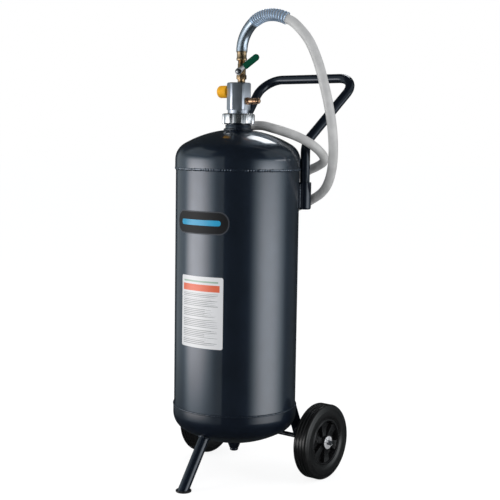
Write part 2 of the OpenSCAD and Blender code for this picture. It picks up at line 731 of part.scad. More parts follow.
// The guard's wire winds round the hose's line; the side vector of its frame stays near Y
function guard_t(a) =
    a < guard_close_turns ? guard_close_span * a / guard_close_turns
    : guard_close_span + (guard_span - guard_close_span) * (a - guard_close_turns) / guard_open_turns;
function guard_r(a) =
    guard_close_r + (guard_open_r - guard_close_r) * min(1, max(0, (a - guard_close_turns) / 2));
function guard_heading(t) = heading(hose_route, max(t, 0.03));
function guard_middle(t) = along(hose_route, t) + guard_heading(t) * guard_foot;
function guard_at(a) =
    let (t = guard_t(a), d = guard_heading(t), s = carried([0, 1, 0], d))
    guard_middle(t) + guard_r(a) * (cos(360 * a) * s + sin(360 * a) * cross(d, s));
guard_count = guard_turns * guard_rings;
guard_line = [for (i = [0:guard_count]) guard_at(i / guard_rings)];
guard_gap = min([
    for (i = [0:guard_count - guard_rings]) norm(guard_line[i + guard_rings] - guard_line[i])
]) - guard_wire_d;
echo(guard_least_gap = guard_gap);
guard_points = [
    for (i = [0:guard_count])
        let (d = unit(guard_line[min(i + 1, guard_count)] - guard_line[max(i - 1, 0)]),
            s = carried(guard_line[i] - guard_middle(guard_t(i / guard_rings)), d))
        each ring(guard_line[i], s, cross(d, s), guard_wire_d / 2, guard_sides)
];
module spring_guard()
    color("#9fb0bd") translate([0, tank_y, 0])
        polyhedron(guard_points, tube_faces(guard_count + 1, guard_sides), convexity = 10);

module on_hose_end(z) translate(hose_end + [0, tank_y, -z]) mirror([0, 0, 1]) children();
module hose_coupling()
    color("#b89a6a") on_hose_end(0) difference() {
        turned([
            [0, 0], [hose_d / 2 + 2, 0], [hose_d / 2 + 2, 2], [hose_d / 2 + 1, 3], [hose_d / 2 + 1, 20],
            [hose_d / 2 + 2, 21], [hose_d / 2 + 2, coupling_l], [0, coupling_l]
        ]);
        translate([0, 0, -eps]) cylinder(d = 12, h = coupling_l + 1);
    }
module nozzle_body()
    color("#b8924e") on_hose_end(coupling_l) difference() {
        union() {
            hex_bar(27, 14);
            translate([0, 0, 13]) cylinder(d = 22, h = 13);
        }
        translate([0, 0, -eps]) cylinder(d = 12, h = 27);
        translate([0, 0, holder_seat]) cylinder(d = 16 + 2 * fit, h = 11);
    }
module nozzle_tip()
    color("#9a9ca0") on_hose_end(coupling_l + holder_seat) difference() {
        turned([
            [0, 0], [8, 0], [8, 10], [9, 12], [9, nozzle_l * 0.6],
            [7, nozzle_l - 2], [6, nozzle_l], [0, nozzle_l]
        ]);
        translate([0, 0, -eps]) cylinder(d = nozzle_bore_d, h = nozzle_l + 2 * eps);
        translate([0, 0, -eps]) cylinder(d1 = 13, d2 = nozzle_bore_d, h = 12);
    }

// ---- Handle ----

function handle_path(extra) = [
    [-socket_x, socket_y, handle_z - extra], [-socket_x, socket_y, bend_z], [-bar_x, bar_y, bar_z],
    [bar_x, bar_y, bar_z], [socket_x, socket_y, bend_z], [socket_x, socket_y, handle_z - extra]
];
module handle()
    color("#262a33") translate([0, tank_y, 0]) difference() {
        bent_bar(handle_path(0), handle_bend_r, handle_d);
        bent_bar(handle_path(eps), handle_bend_r, handle_d - 2 * handle_wall);
    }
// Socket tube closed by a rounded floor, with a tapped hole at the back
module socket(side) {
    round = 4;
    translate([side * socket_x, tank_y + socket_y, socket_z]) difference() {
        turned(concat(
            [[0, 0]], arc([socket_r - round, round], round, -90, 0, 6),
            [[socket_r, socket_h], [handle_d / 2 + fit, socket_h]],
            [[handle_d / 2 + fit, socket_floor], [0, socket_floor]]
        ));
        translate([0, 0, socket_h / 2]) facing(90) cylinder(d = 6 + 2 * fit, h = socket_r + 1);
    }
}
module socket_right() color("#262a33") socket(1);
module socket_left() color("#262a33") socket(-1);
module socket_welds()
    color("#262a33") for (side = [-1, 1])
        translate([0, tank_y, socket_z + 4]) linear_extrude(socket_h - 8) difference() {
            rotate([0, 0, side > 0 ? socket_angle : 180 - socket_angle])
                translate([tank_r - 2, -socket_r * 0.6]) square([8, socket_r * 1.2]);
            circle(r = tank_r, $fn = 720);
            translate([side * socket_x, socket_y]) circle(r = socket_r, $fn = 360);
        }
module socket_screws()
    color("#b9bcc2") for (side = [-1, 1])
        translate([side * socket_x, tank_y + socket_y, socket_z + socket_h / 2]) facing(90) difference() {
            translate([0, 0, handle_d / 2]) cylinder(d = 6, h = socket_r - handle_d / 2 + 3);
            translate([0, 0, socket_r]) hex_bar(3, 4);
        }

// ---- Front leg ----

module front_leg()
    color("#20242c") difference() {
        translate([0, tank_y - foot_y, foot_t]) rotate([-leg_lean, 0, 0]) translate([0, 0, -leg_d])
            cylinder(d = leg_d, h = leg_d + leg_blank_l);
        translate([0, tank_y - foot_y, foot_t - leg_cut / 2]) cube(leg_cut, center = true);
        tank_envelope(0.05);
        on_tank(low_seam_z - inner_cut) cylinder(r = tank_r - 8, h = leg_cut);
    }
module leg_foot()
    color("#191919") translate([0, tank_y - foot_y, 0])
        turned([
            [0, 0], [foot_d / 2 - 1, 0], [foot_d / 2, 1], [foot_d / 2, foot_t - 1],
            [foot_d / 2 - 1, foot_t], [0, foot_t]
        ]);

// ---- Axle and brackets ----

module bracket(side) {
    top_z = low_seam_z + 4;
    top_y = axle_y - (top_z - axle_z) * 0.45;
    ear_r = bracket_w / 2;
    difference() {
        translate([side * bracket_x - bracket_t / 2, tank_y, 0]) rotate([90, 0, 90]) difference() {
            union() {
                translate([axle_y, axle_z, 0]) cylinder(r = ear_r, h = bracket_t);
                linear_extrude(bracket_t) polygon([
                    [axle_y + ear_r * 0.9, axle_z + ear_r * 0.4],
                    [axle_y - ear_r * 0.9, axle_z - ear_r * 0.4],
                    [top_y - ear_r, top_z], [top_y + ear_r, top_z]
                ]);
            }
            translate([axle_y, axle_z, -eps]) cylinder(d = axle_d + 2 * fit, h = bracket_t + 2 * eps);
        }
        tank_envelope(0.05);
    }
}
module bracket_right() color("#20242c") bracket(1);
module bracket_left() color("#20242c") bracket(-1);
module axle()
    color("#d0d3d8") translate([0, tank_y + axle_y, axle_z]) difference() {
        translate([-axle_l / 2, 0, 0]) facing(0) turned([
            [0, 0], [axle_d / 2 - 1, 0], [axle_d / 2, 1], [axle_d / 2, axle_l - 1],
            [axle_d / 2 - 1, axle_l], [0, axle_l]
        ]);
        for (side = [-1, 1]) translate([side * pin_x, 0, 0]) rotate([60, 0, 0])
            cylinder(d = pin_d + 2 * fit, h = axle_d + 2, center = true);
    }
// A plain washer outside each wheel, and inside it a washer with a shaft collar that holds the wheel out
module axle_washers() color("#c8cbd0") for (side = [-1, 1]) {
    inner_x = wheel_x - hub_w / 2 - bush_flange - gap;
    translate([side * hub_face_x, tank_y + axle_y, axle_z]) facing(side > 0 ? 0 : 180) difference() {
        cylinder(d = washer_d, h = washer_t);
        translate([0, 0, -eps]) cylinder(d = axle_d + 2 * fit, h = washer_t + 2 * eps);
    }
    translate([side * inner_x, tank_y + axle_y, axle_z]) facing(side > 0 ? 180 : 0) difference() {
        union() {
            cylinder(d = washer_d, h = washer_t);
            cylinder(d = shaft_collar_d, h = shaft_collar_l);
        }
        translate([0, 0, -eps]) cylinder(d = axle_d + 2 * fit, h = shaft_collar_l + 2 * eps);
        translate([0, 0, washer_t + 4]) rotate([0, 90, 0]) cylinder(d = 4, h = shaft_collar_d);
    }
}
// Split pin: an eye on one side of the axle and two legs spread on the other
module split_pins() color("#b9bcc2") for (side = [-1, 1])
    translate([side * pin_x, tank_y + axle_y, axle_z]) rotate([60, 0, 0]) {
        leg = axle_d / 2 + pin_over;
        cylinder(d = pin_d, h = 2 * leg, center = true);
        translate([0, 0, -leg - pin_eye_r]) rotate([0, 90, 0])
            rotate_extrude($fn = 32) translate([pin_eye_r, 0]) circle(d = pin_wire_d, $fn = 16);
        for (s = [-1, 1]) translate([0, 0, leg - pin_wire_d / 2]) rotate([s * 35, 0, 0])
            cylinder(d = pin_wire_d, h = pin_tail_l);
    }

// ---- Wheels ----

module on_wheel(side)
    translate([side * wheel_x, tank_y + axle_y, axle_z]) facing(side > 0 ? 0 : 180) children();
function tread(y, w, d) = [
    [wheel_r, y - w], [wheel_r - d, y - w * 0.6], [wheel_r - d, y + w * 0.6], [wheel_r, y + w]
];
module tyre(side) {
    h = tyre_w / 2;
    lip = 3;
    groove = 2.5;
    on_wheel(side) turned(concat(
        [[rim_r + fit, -h + lip], [rim_r + 6, -h + 1], [rim_r + 12, -h]],
        [[wheel_r - 16, -h], [wheel_r - 10, -h + 1.5]],
        arc([wheel_r - 6, -h + 8], 6, -80, -10, 5),
        tread(-9, 2.2, groove), tread(0, 2.2, groove), tread(9, 2.2, groove),
        arc([wheel_r - 6, h - 8], 6, 10, 80, 5),
        [[wheel_r - 10, h - 1.5], [wheel_r - 16, h]],
        [[rim_r + 12, h], [rim_r + 6, h - 1], [rim_r + fit, h - lip]]
    ));
}
module rim(side) {
    h = tyre_w / 2 - 3;
    on_wheel(side) difference() {
        union() {
            turned([
                [rim_r - 5, -h], [rim_r, -h], [rim_r, h], [rim_r - 5, h], [rim_r - 8, 2.5], [rim_r - 8, -2.5]
            ]);
            translate([0, 0, -2.5]) cylinder(r = rim_r - 6, h = 5);
            translate([0, 0, -hub_w / 2]) cylinder(r = hub_r, h = hub_w);
            for (i = [0:spokes - 1]) rotate([0, 0, 190 + i * 360 / spokes])
                translate([0, 0, -h + 4]) linear_extrude(2 * h - 8)
                    polygon([[hub_r - 3, -6], [rim_r - 5.5, -12], [rim_r - 5.5, 12], [hub_r - 3, 6]]);
        }
        translate([0, 0, -hub_w / 2 - eps]) cylinder(r = bush_r + fit, h = hub_w + 2 * eps);
    }
}
module bushes(side)
    on_wheel(side) for (a = [0, 180]) rotate([a, 0, 0]) translate([0, 0, hub_w / 2 - bush_l]) difference() {
        union() {
            cylinder(r = bush_r, h = bush_l);
            translate([0, 0, bush_l]) cylinder(r = bush_r + 3, h = bush_flange);
        }
        translate([0, 0, -eps]) cylinder(d = axle_d + 2 * fit, h = bush_l + bush_flange + 2 * eps);
    }
module tyre_right() color("#1c1c1c") tyre(1);
module rim_right() color("#232323") rim(1);
module bushes_right() color("#3a3a3a") bushes(1);
module tyre_left() color("#1c1c1c") tyre(-1);
module rim_left() color("#232323") rim(-1);
module bushes_left() color("#3a3a3a") bushes(-1);

// ---- Drain ----

module drain_boss() {
    top = crown_at(drain_d / 2);
    color("#191a1d") on_tank(low_seam_z) mirror([0, 0, 1]) difference() {
        turned([
            [0, top + fit], [drain_d / 2, top + fit], [drain_d / 2, head_rise + drain_neck_h],
            [plug_d / 2 + 0.5, head_rise + drain_h], [0, head_rise + drain_h]
        ]);
        translate([0, 0, top - 1]) cylinder(d = plug_d - 6 + 2 * fit, h = drain_h + 20);
        tank_crown();
    }
}
module tank_crown() turned(concat(head_outer(0.05, 0.01), [[0, head_rise], [0, 0]]));
module drain_plug()
    color("#121315") on_tank(low_apex_z) mirror([0, 0, 1]) {
        translate([0, 0, -4]) cylinder(d = plug_d - 6, h = drain_h + 5);
        translate([0, 0, drain_h]) turned([
            [0, 0], [plug_d / 2, 0], [plug_d / 2, plug_head_h - 2],
            [plug_d / 2 - 2, plug_head_h], [0, plug_head_h]
        ]);
    }

tank_shell();
top_head();
bottom_head();
seam_welds();
filler_spud();
seal_ring();
collar_nut();
manifold_block();
pickup_tube();
inlet_nipple();
inlet_cap();
relief_body();
relief_knob();
valve_body();
valve_seats();
valve_ball();
valve_stem();
packing_nut();
lever();
lever_grip();
lever_nut();
hose_ferrule();
spring_guard();
hose();
hose_coupling();
nozzle_body();
nozzle_tip();
handle();
socket_right();
socket_left();
socket_welds();
socket_screws();
front_leg();
leg_foot();
bracket_right();
bracket_left();
axle();
axle_washers();
split_pins();
tyre_right();
rim_right();
bushes_right();
tyre_left();
rim_left();
bushes_left();
drain_boss();
drain_plug();
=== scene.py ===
"""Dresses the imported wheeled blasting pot: its paint, metals, rubber, welds, guard and labels."""

import json
from math import acos, atan2, copysign, cos, hypot, pi, radians, sin, sqrt, tan

import bmesh
import bpy
from bpy.props import FloatProperty, FloatVectorProperty, PointerProperty
from mathutils import Matrix, Vector
from mathutils.bvhtree import BVHTree

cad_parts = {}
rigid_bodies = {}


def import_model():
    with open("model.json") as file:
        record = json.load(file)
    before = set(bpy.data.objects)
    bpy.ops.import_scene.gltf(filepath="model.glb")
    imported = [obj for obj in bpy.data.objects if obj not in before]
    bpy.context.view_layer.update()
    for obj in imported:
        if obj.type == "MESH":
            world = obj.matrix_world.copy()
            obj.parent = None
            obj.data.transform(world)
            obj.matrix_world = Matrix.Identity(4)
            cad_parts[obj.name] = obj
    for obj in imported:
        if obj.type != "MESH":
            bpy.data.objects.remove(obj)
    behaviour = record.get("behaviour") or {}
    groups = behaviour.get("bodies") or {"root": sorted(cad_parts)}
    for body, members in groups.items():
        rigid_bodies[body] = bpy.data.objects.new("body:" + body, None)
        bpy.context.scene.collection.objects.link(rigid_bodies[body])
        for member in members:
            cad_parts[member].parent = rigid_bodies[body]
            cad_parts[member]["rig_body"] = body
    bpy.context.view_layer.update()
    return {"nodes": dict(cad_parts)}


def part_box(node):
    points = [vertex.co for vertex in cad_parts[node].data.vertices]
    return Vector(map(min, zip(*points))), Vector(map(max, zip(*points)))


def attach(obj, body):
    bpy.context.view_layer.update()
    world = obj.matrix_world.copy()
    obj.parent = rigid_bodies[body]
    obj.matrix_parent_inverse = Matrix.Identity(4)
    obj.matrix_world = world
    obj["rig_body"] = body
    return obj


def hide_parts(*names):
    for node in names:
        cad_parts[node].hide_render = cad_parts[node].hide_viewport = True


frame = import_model()

bl_info = {
    "name": "Wheeled blasting pot",
    "version": (1, 0, 0),
    "blender": (4, 5, 0),
    "location": "View3D > Sidebar > Blasting pot",
    "description": "Finishes and fine pieces of a wheeled blasting pot, round its packed model",
    "category": "Add Mesh",
}

MM = 0.001

# ---- Places that the frame gives ----

SHELL_LOW, SHELL_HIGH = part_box("tank_shell")
TANK_R = (SHELL_HIGH.x - SHELL_LOW.x) / 2
TANK_Y = (SHELL_HIGH.y + SHELL_LOW.y) / 2
TOP_SEAM_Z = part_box("top_head")[0].z
LOW_SEAM_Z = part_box("bottom_head")[1].z
AXLE = (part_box("axle")[0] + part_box("axle")[1]) / 2
TYRE_LOW, TYRE_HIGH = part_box("tyre_right")
WHEEL_X = (TYRE_LOW.x + TYRE_HIGH.x) / 2
WHEEL_R = (TYRE_HIGH.z - TYRE_LOW.z) / 2
TYRE_W = TYRE_HIGH.x - TYRE_LOW.x
FERRULE_LOW, FERRULE_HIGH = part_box("hose_ferrule")
FOOT_LOW, FOOT_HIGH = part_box("leg_foot")
CAP_LOW, CAP_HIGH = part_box("inlet_cap")
SOCKET_LOW, SOCKET_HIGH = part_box("socket_right")

# ---- Sizes of the dished heads, as in the part's source ----

HEAD_R = TANK_R + 2.0 * MM
HEAD_SKIRT = 20 * MM
KNUCKLE_R = 48 * MM
CROWN_R = 272 * MM
PLATE_T = 3 * MM
LAP_H = 12 * MM
FIT = 0.1 * MM
SPUD_R = 33.5 * MM
DRAIN_R = 11 * MM
CROWN_DROP = sqrt((CROWN_R - KNUCKLE_R) ** 2 - (HEAD_R - KNUCKLE_R) ** 2)
KNUCKLE_END = atan2(CROWN_DROP, HEAD_R - KNUCKLE_R)

# ---- Route of the hose, in millimetres from the tank's axis ----

HOSE_ROUTE = [
    (8, 0, 1109), (11, 0, 1132), (20, 0, 1153), (34, 0, 1171), (52, 0, 1185), (73, 1, 1194),
    (96, 3, 1197), (121, 6, 1194), (147, 10, 1184), (171, 15, 1167), (203, 22, 1129),
    (226, 29, 1077), (240, 37, 1022), (248, 48, 968), (249, 63, 914), (242, 80, 862),
    (226, 100, 817), (198, 126, 779), (159, 156, 751), (110, 178, 728), (60, 190, 708),
    (8, 197, 692), (-46, 200, 686), (-98, 200, 696), (-148, 193, 722), (-186, 176, 760),
    (-206, 150, 806), (-192, 122, 851), (-148, 108, 887), (-90, 99, 908), (-34, 86, 920),
    (20, 71, 922), (62, 60, 916), (101, 60, 907), (133, 74, 895), (154, 100, 879),
    (161, 133, 860), (155, 166, 842), (135, 192, 828), (104, 209, 816), (70, 212, 802),
    (38, 211, 778), (8, 220, 742), (-14, 233, 696), (-26, 243, 642), (-30, 248, 584),
    (-30, 249, 524), (-30, 249, 464), (-30, 249, 404), (-30, 249, 320),
]
HOSE_D = 24 * MM

# ---- The guard. Spans count the points of the hose's route ----

GUARD_R = HOSE_D / 2 + 2.4 * MM
GUARD_LIFT = 1.6 * MM
GUARD_CROWN = 1.5 * MM
GUARD_SPAN = 7.9
GUARD_CLOSE_SPAN = 3.6
GUARD_CLOSE_TURNS = 24
GUARD_OPEN_TURNS = 15
GUARD_LOOSENS_OVER = 2
GUARD_RINGS = 28
GUARD_STRIP_T = 1.2 * MM
GUARD_ROWS = 6
# The strip's share of a turn where the turns are close, and what it loses where they are open
GUARD_FILL, GUARD_FILL_LOSS = 0.97, 0.31
GUARD_END_SPAN = 0.002
# The line, in X and Z, where the sheath of steel turns into open turns, and where the open turns'
# painted paler sheen starts
GUARD_OPENS_X, GUARD_OPENS_Z, GUARD_OPENS_FROM, GUARD_OPENS_TO = 0.79, 0.61, 0.753, 0.758

HANDLE_D = 25 * MM
HANDLE_BEND_R = 55 * MM
HANDLE_BEND_Z = 878 * MM
HANDLE_BAR = Vector((161.484, 318.025, 1055)) * MM
LEG_LEAN = radians(34)

# ---- The labels: bearings on the tank in degrees, and heights ----

LABEL_BEARING, LABEL_Z = -86.0, 453 * MM
BADGE_BEARING, BADGE_Z = -88.0, 678 * MM
FILM_T, FILM_GAP = 0.35 * MM, 0.02 * MM

# ---- The camera, as fitted to the tank, the wheels and the handle ----

CAMERA_AT = Vector((1.79918, -2.29114, 0.88667))
CAMERA_SIDE = Vector((0.78563579, 0.61851277, 0.01477721))
CAMERA_UP = Vector((-0.07336269, 0.06941604, 0.99488659))
CAMERA_AIM = Vector((-0.61432428, 0.78270261, -0.09991149))
CAMERA_LENS, CAMERA_SENSOR = 79.59, 36

# ---- The stage: bearings are degrees to the right of the way to the camera ----

TOWARD_CAMERA = Vector((0.627, -0.779, 0))
CAMERA_RIGHT = Vector((0.779, 0.627, 0))
# Each lamp: its name, bearing, distance, height, size and power.
LAMPS = (
    ("left", -78, 2.3, 1.1, (1.5, 2.0), 24),
    ("right", 70, 2.3, 1.1, (1.1, 2.0), 18),
    ("back", 172, 2.3, 2.6, (1.4, 1.0), 10),
    ("front", -10, 3.2, 2.4, (1.6, 1.2), 16),
)
LAMPS_AIM_Z = 0.7
FLOOR_R = 40
FLOOR_LIGHT, FLOOR_LIGHT_SHARE = 1.235, 0.7
SKY_COLOUR, SKY_LIGHT = (0.93, 0.95, 1.0, 1), 0.55
TENT_R = 2.3
TENT_LOW, TENT_TOP = -1.6, 4.4
TENT_GLOOM = 0.035
# Each window: where it fades in and out by bearing, then by height, and its level of light.
TENT_WINDOWS = (
    ((-112, -84, -74, -34), (-0.6, 0.2, 0.3, 1.7), 4.1),
    ((-60, -40, -25, -22), (-0.5, -0.3, 1.4, 2.2), 0.28),
    ((-150, -138, -112, -86), (-0.6, 0.1, 1.0, 1.9), 0.4),
    ((20, 56, 62, 106), (-0.43, -0.35, 0.3, 1.5), 2.8),
    ((80, 96, 125, 145), (-0.43, -0.35, 1.1, 1.6), 0.07),
    ((64, 76, 98, 112), (0.86, 0.92, 1.10, 1.18), 1.5),
    ((156, 159, 167, 178), (2.5, 2.6, 3.3, 3.5), 6.0),
    ((-130, -110, -60, -45), (1.4, 1.9, 3.4, 4.0), 0.35),
    ((50, 60, 110, 130), (1.2, 1.8, 3.4, 4.0), 0.3),
)
# The light's tint by level, from dim to full, and by bearing, from left to right
TINT_LEVELS, TINT_BEARINGS = (0.3, 2.2), (-22, 20)
TINT_DIM, TINT_LEFT, TINT_RIGHT = (0.86, 0.97, 1.0), (0.98, 0.955, 0.955), (0.96, 0.98, 1.0)


# ---- Smooth line through the points ----


def in_row(point):
    """A point of the hose's route, in metres in the row's frame."""
    return Vector((point[0] * MM, point[1] * MM + TANK_Y, point[2] * MM))


def knot(points, i):
    """Point i. The line starts upwards and ends straight on."""
    if i < 0:
        first, second = points[0], points[1]
        return Vector((second.x, second.y, 2 * first.z - second.z))
    if i > len(points) - 1:
        return 2 * points[-1] - points[-2]
    return points[i]


def along(points, t):
    """The smooth line's place at t, which counts the points from the first one."""
    i = min(int(t), len(points) - 2)
    a, b, c, d = (knot(points, i + k) for k in (-1, 0, 1, 2))
    u = t - i
    square = 2 * a - 5 * b + 4 * c - d
    cube = 3 * b - a - 3 * c + d
    return 0.5 * (2 * b + (c - a) * u + square * u * u + cube * u**3)


def heading(points, t, step=0.02):
    last = len(points) - 1
    return (along(points, min(t + step, last)) - along(points, max(t - step, 0))).normalized()


def rounded_path(corners, radius, steps):
    """A line through the corners with each inner corner rounded to one radius."""
    path = [corners[0]]
    for before, corner, after in zip(corners, corners[1:], corners[2:]):
        u, v = (corner - before).normalized(), (after - corner).normalized()
        turn = u.angle(v)
        start = corner - u * radius * tan(turn / 2)
        centre = corner + (v - u).normalized() * radius / cos(turn / 2)
        spoke = start - centre
        for k in range(steps + 1):
            a = turn * k / steps
            path.append(centre + spoke * cos(a) + u * radius * sin(a))
    return path + [corners[-1]]


# ---- Shader nodes written as expressions ----


class Level:
    """A value in a shader: arithmetic on it adds Math nodes."""

    def __init__(self, finish, socket):
        self.finish, self.socket = finish, socket

    def maths(self, operation, *values):
        return self.finish.add("ShaderNodeMath", {"operation": operation}, values)

    def __add__(self, other):
        return self.maths("ADD", self, other)

    def __radd__(self, other):
        return self.maths("ADD", other, self)

    def __sub__(self, other):
        return self.maths("SUBTRACT", self, other)

    def __rsub__(self, other):
        return self.maths("SUBTRACT", other, self)

    def __mul__(self, other):
        return self.maths("MULTIPLY", self, other)

    def __rmul__(self, other):
        return self.maths("MULTIPLY", other, self)

    def __pow__(self, other):
        return self.maths("POWER", self, other)

    def above(self, other):
        return self.maths("GREATER_THAN", self, other)

    def below(self, other):
        return self.maths("LESS_THAN", self, other)

    def between(self, low, high):
        return self.above(low) * self.below(high)

    def sine(self):
        return self.maths("SINE", self)

    def wrapped(self, period):
        return self.maths("MODULO", self, period)

    def angle_to(self, other):
        """The angle, in degrees, of the point (other, self)."""
        return self.maths("ARCTAN2", self, other) * (180 / pi)

    def ramp(self, low, high, start=0.0, end=1.0):
        """Runs from start to end, smoothly, as this level goes from low to high."""
        return self.finish.add(
            "ShaderNodeMapRange", {"interpolation_type": "SMOOTHSTEP"},
            [self, low, high, start, end],
        )


class Finish:
    """A material, or the world, under construction. add() puts in any node."""

    def __init__(
        self, name, colour=None, roughness=None, kind="ShaderNodeBsdfPrincipled", world=False,
        **constants,
    ):
        self.material = (bpy.data.worlds if world else bpy.data.materials).new(name)
        self.material.use_nodes = True
        self.tree = self.material.node_tree
        self.tree.nodes.clear()
        self.shader = self.tree.nodes.new(kind)
        end = self.tree.nodes.new("ShaderNodeOutputWorld" if world else "ShaderNodeOutputMaterial")
        self.tree.links.new(self.shader.outputs[0], end.inputs["Surface"])
        if colour:
            self.paint(Base_Color=(*colour, 1.0), Roughness=roughness)
        self.paint(**constants)

    def feed(self, node, values):
        """Sets or links a node's sockets, by name or in order."""
        pairs = values.items() if isinstance(values, dict) else enumerate(values)
        for name, value in pairs:
            if isinstance(value, Level):
                self.tree.links.new(value.socket, node.inputs[name])
            else:
                node.inputs[name].default_value = value

    def paint(self, **sockets):
        """Sets or links the shader's own sockets, by name."""
        self.feed(self.shader, {k.replace("_", " "): v for k, v in sockets.items()})
        return self

    def add(self, kind, settings=None, values=(), output=0):
        """A new node with its settings, then its sockets' values or links. Gives one output."""
        node = self.tree.nodes.new(kind)
        for name, value in (settings or {}).items():
            setattr(node, name, value)
        self.feed(node, values)
        return Level(self, node.outputs[output])

    def place(self, kind="Object", scale=(1, 1, 1), centre=(0, 0, 0)):
        """Coordinates of the surface, moved so that centre is at zero, then scaled."""
        coordinates = self.add("ShaderNodeTexCoord", output=kind)
        shift = [-c * s for c, s in zip(centre, scale)]
        return self.add(
            "ShaderNodeMapping", values={"Vector": coordinates, "Location": shift, "Scale": scale}
        )

    def parts(self, vector):
        outputs = self.add("ShaderNodeSeparateXYZ", values=[vector]).socket.node.outputs
        return [Level(self, output) for output in outputs]

    def noise(self, size, detail=3.0, vector=None, rough=0.5):
        """Noise from 0 to 1 with features of about this size in metres."""
        vector = vector or self.place()
        values = {"Vector": vector, "Scale": 1.0 / size, "Detail": detail, "Roughness": rough}
        return self.add("ShaderNodeTexNoise", values=values)

    def mix(self, share, first, second):
        """A colour between two, by a share from 0 to 1."""
        first, second = ((*c, 1.0) if isinstance(c, tuple) else c for c in (first, second))
        values = {0: share, 6: first, 7: second}
        return self.add("ShaderNodeMix", {"data_type": "RGBA"}, values, output=2)

    def tints(self, colour, share, low, high):
        """A colour that drifts between two tints of one colour."""
        return self.mix(share, tinted(colour, low), tinted(colour, high))

    def bump(self, height, distance, strength=1.0):
        """Relief of the surface from a height of 0 to 1, with this depth in metres."""
        values = {"Height": height, "Distance": distance, "Strength": strength}
        return self.paint(Normal=self.add("ShaderNodeBump", values=values))


def tinted(colour, factor):
    return tuple(min(1.0, c * factor) for c in colour)


def chosen(colour):
    """The user's colour of this name, or the colour itself."""
    if isinstance(colour, str):
        return tuple(getattr(bpy.context.scene.pot_colours, colour))
    return colour


def clear_coated(name, roughness, gloss, coat, coat_roughness, coat_ior):
    """Blue-black paint under a clear, faintly blue gloss."""
    return Finish(
        name, chosen("paint"), roughness, Specular_IOR_Level=gloss, Coat_Weight=coat,
        Specular_Tint=(0.62, 0.78, 1.0, 1.0), Coat_Tint=(0.82, 0.91, 1.0, 1.0),
        Coat_Roughness=coat_roughness, Coat_IOR=coat_ior,
    )


def powder_coat(name, gloss, coat):
    """Gloss powder coat of the tank with its faint orange peel."""
    f = clear_coated(name, 0.4, gloss, coat, 0.06, 1.7)
    cloud = f.noise(0.09)
    f.paint(Base_Color=f.tints(chosen("paint"), cloud.ramp(0.3, 0.7), 0.85, 1.2))
    f.paint(Roughness=f.noise(0.03).ramp(0.2, 0.8, 0.36, 0.44))
    return f.bump(f.noise(0.003, 2.0), 0.00002, 0.3)


def tube_coat(name):
    """The same powder coat on tubes and brackets, a little flatter."""
    f = clear_coated(name, 0.32, 0.3, 0.65, 0.05, 1.6)
    f.paint(Base_Color=f.tints(chosen("paint"), f.noise(0.04), 0.8, 1.15))
    f.paint(Roughness=f.noise(0.02).ramp(0.2, 0.8, 0.27, 0.38))
    return f.bump(f.noise(0.003, 2.0), 0.00002, 0.3)


def metal(name, colour, roughness, spread, tone, lines=(1, 1, 1), depth=0.000006, metallic=1.0):
    """A worked metal. lines is the scale of the grain along X, Y and Z, so turned and drawn
    pieces show marks that run one way."""
    f = Finish(name, colour, roughness, Metallic=metallic)
    marks = f.noise(0.0016, 3.0, f.place(scale=lines), 0.6)
    cloud = f.noise(0.012)
    wear = (marks * 0.6 + cloud * 0.4).ramp(0.25, 0.75, roughness - spread, roughness + spread)
    f.paint(Base_Color=f.tints(colour, cloud.ramp(0.25, 0.75), 1 - tone, 1 + tone))
    f.paint(Roughness=wear)
    return f.bump(marks, depth, 0.4)


def spring_steel(name):
    """Blued steel: a smooth sheath at first, then open turns painted paler and bluer, with less
    metal, as a painted sheen.
    """
    sheath, open_turns_painted_sheen = (0.58, 0.67, 0.77), (0.50, 0.66, 0.86)
    f = Finish(name, sheath, 0.3)
    x, _, z = f.parts(f.place())
    across = x * GUARD_OPENS_X + z * GUARD_OPENS_Z
    open_sheen_share = across.ramp(GUARD_OPENS_FROM, GUARD_OPENS_TO)
    tone = f.noise(0.012).ramp(0.25, 0.75)
    # Past the opening line the colour turns paler and bluer and the metal drops: a painted sheen on
    # the open turns.
    f.paint(Base_Color=f.mix(open_sheen_share, f.tints(sheath, tone, 0.94, 1.06), open_turns_painted_sheen))
    f.paint(Metallic=open_sheen_share.ramp(0, 1, 1.0, 0.6))
    f.paint(Roughness=f.noise(0.0016).ramp(0.25, 0.75, 0.25, 0.35))
    return f.bump(f.noise(0.0016), 0.000001, 0.4)


def moulded(name, colour, roughness, gloss=0.5, tone=0.1, size=0.0012):
    """A moulded plastic or rubber with a fine skin."""
    colour = chosen(colour)
    f = Finish(name, colour, roughness, Specular_IOR_Level=gloss)
    cloud = f.noise(0.02)
    f.paint(Base_Color=f.tints(colour, cloud.ramp(0.25, 0.75), 1 - tone, 1 + tone))
    f.paint(Roughness=f.noise(0.008).ramp(0.2, 0.8, roughness - 0.05, roughness + 0.05))
    return f.bump(f.noise(size, 2.0), 0.00003, 0.5)


def tyre_rubber(name):
    """Moulded tyre: near black, with a little dust and faint moulding rings."""
    base, dusty = (0.0062, 0.0062, 0.0064), (0.014, 0.0135, 0.013)
    ring_rate = 4200.0
    f = Finish(name, base, 0.3)
    _, y, z = f.parts(f.place(centre=(0, AXLE.y, AXLE.z)))
    radius = (y * y + z * z) ** 0.5
    rings = (radius * ring_rate).sine() * 0.5 + 0.5
    dust = f.noise(0.012, 4.0, rough=0.65).ramp(0.5, 0.85)
    f.paint(Base_Color=f.mix(dust * 0.6, base, dusty))
    f.paint(Roughness=dust.ramp(0, 1, 0.28, 0.36))
    return f.bump(rings * 0.25 + f.noise(0.0009, 2.0) * 0.75, 0.00005, 0.5)


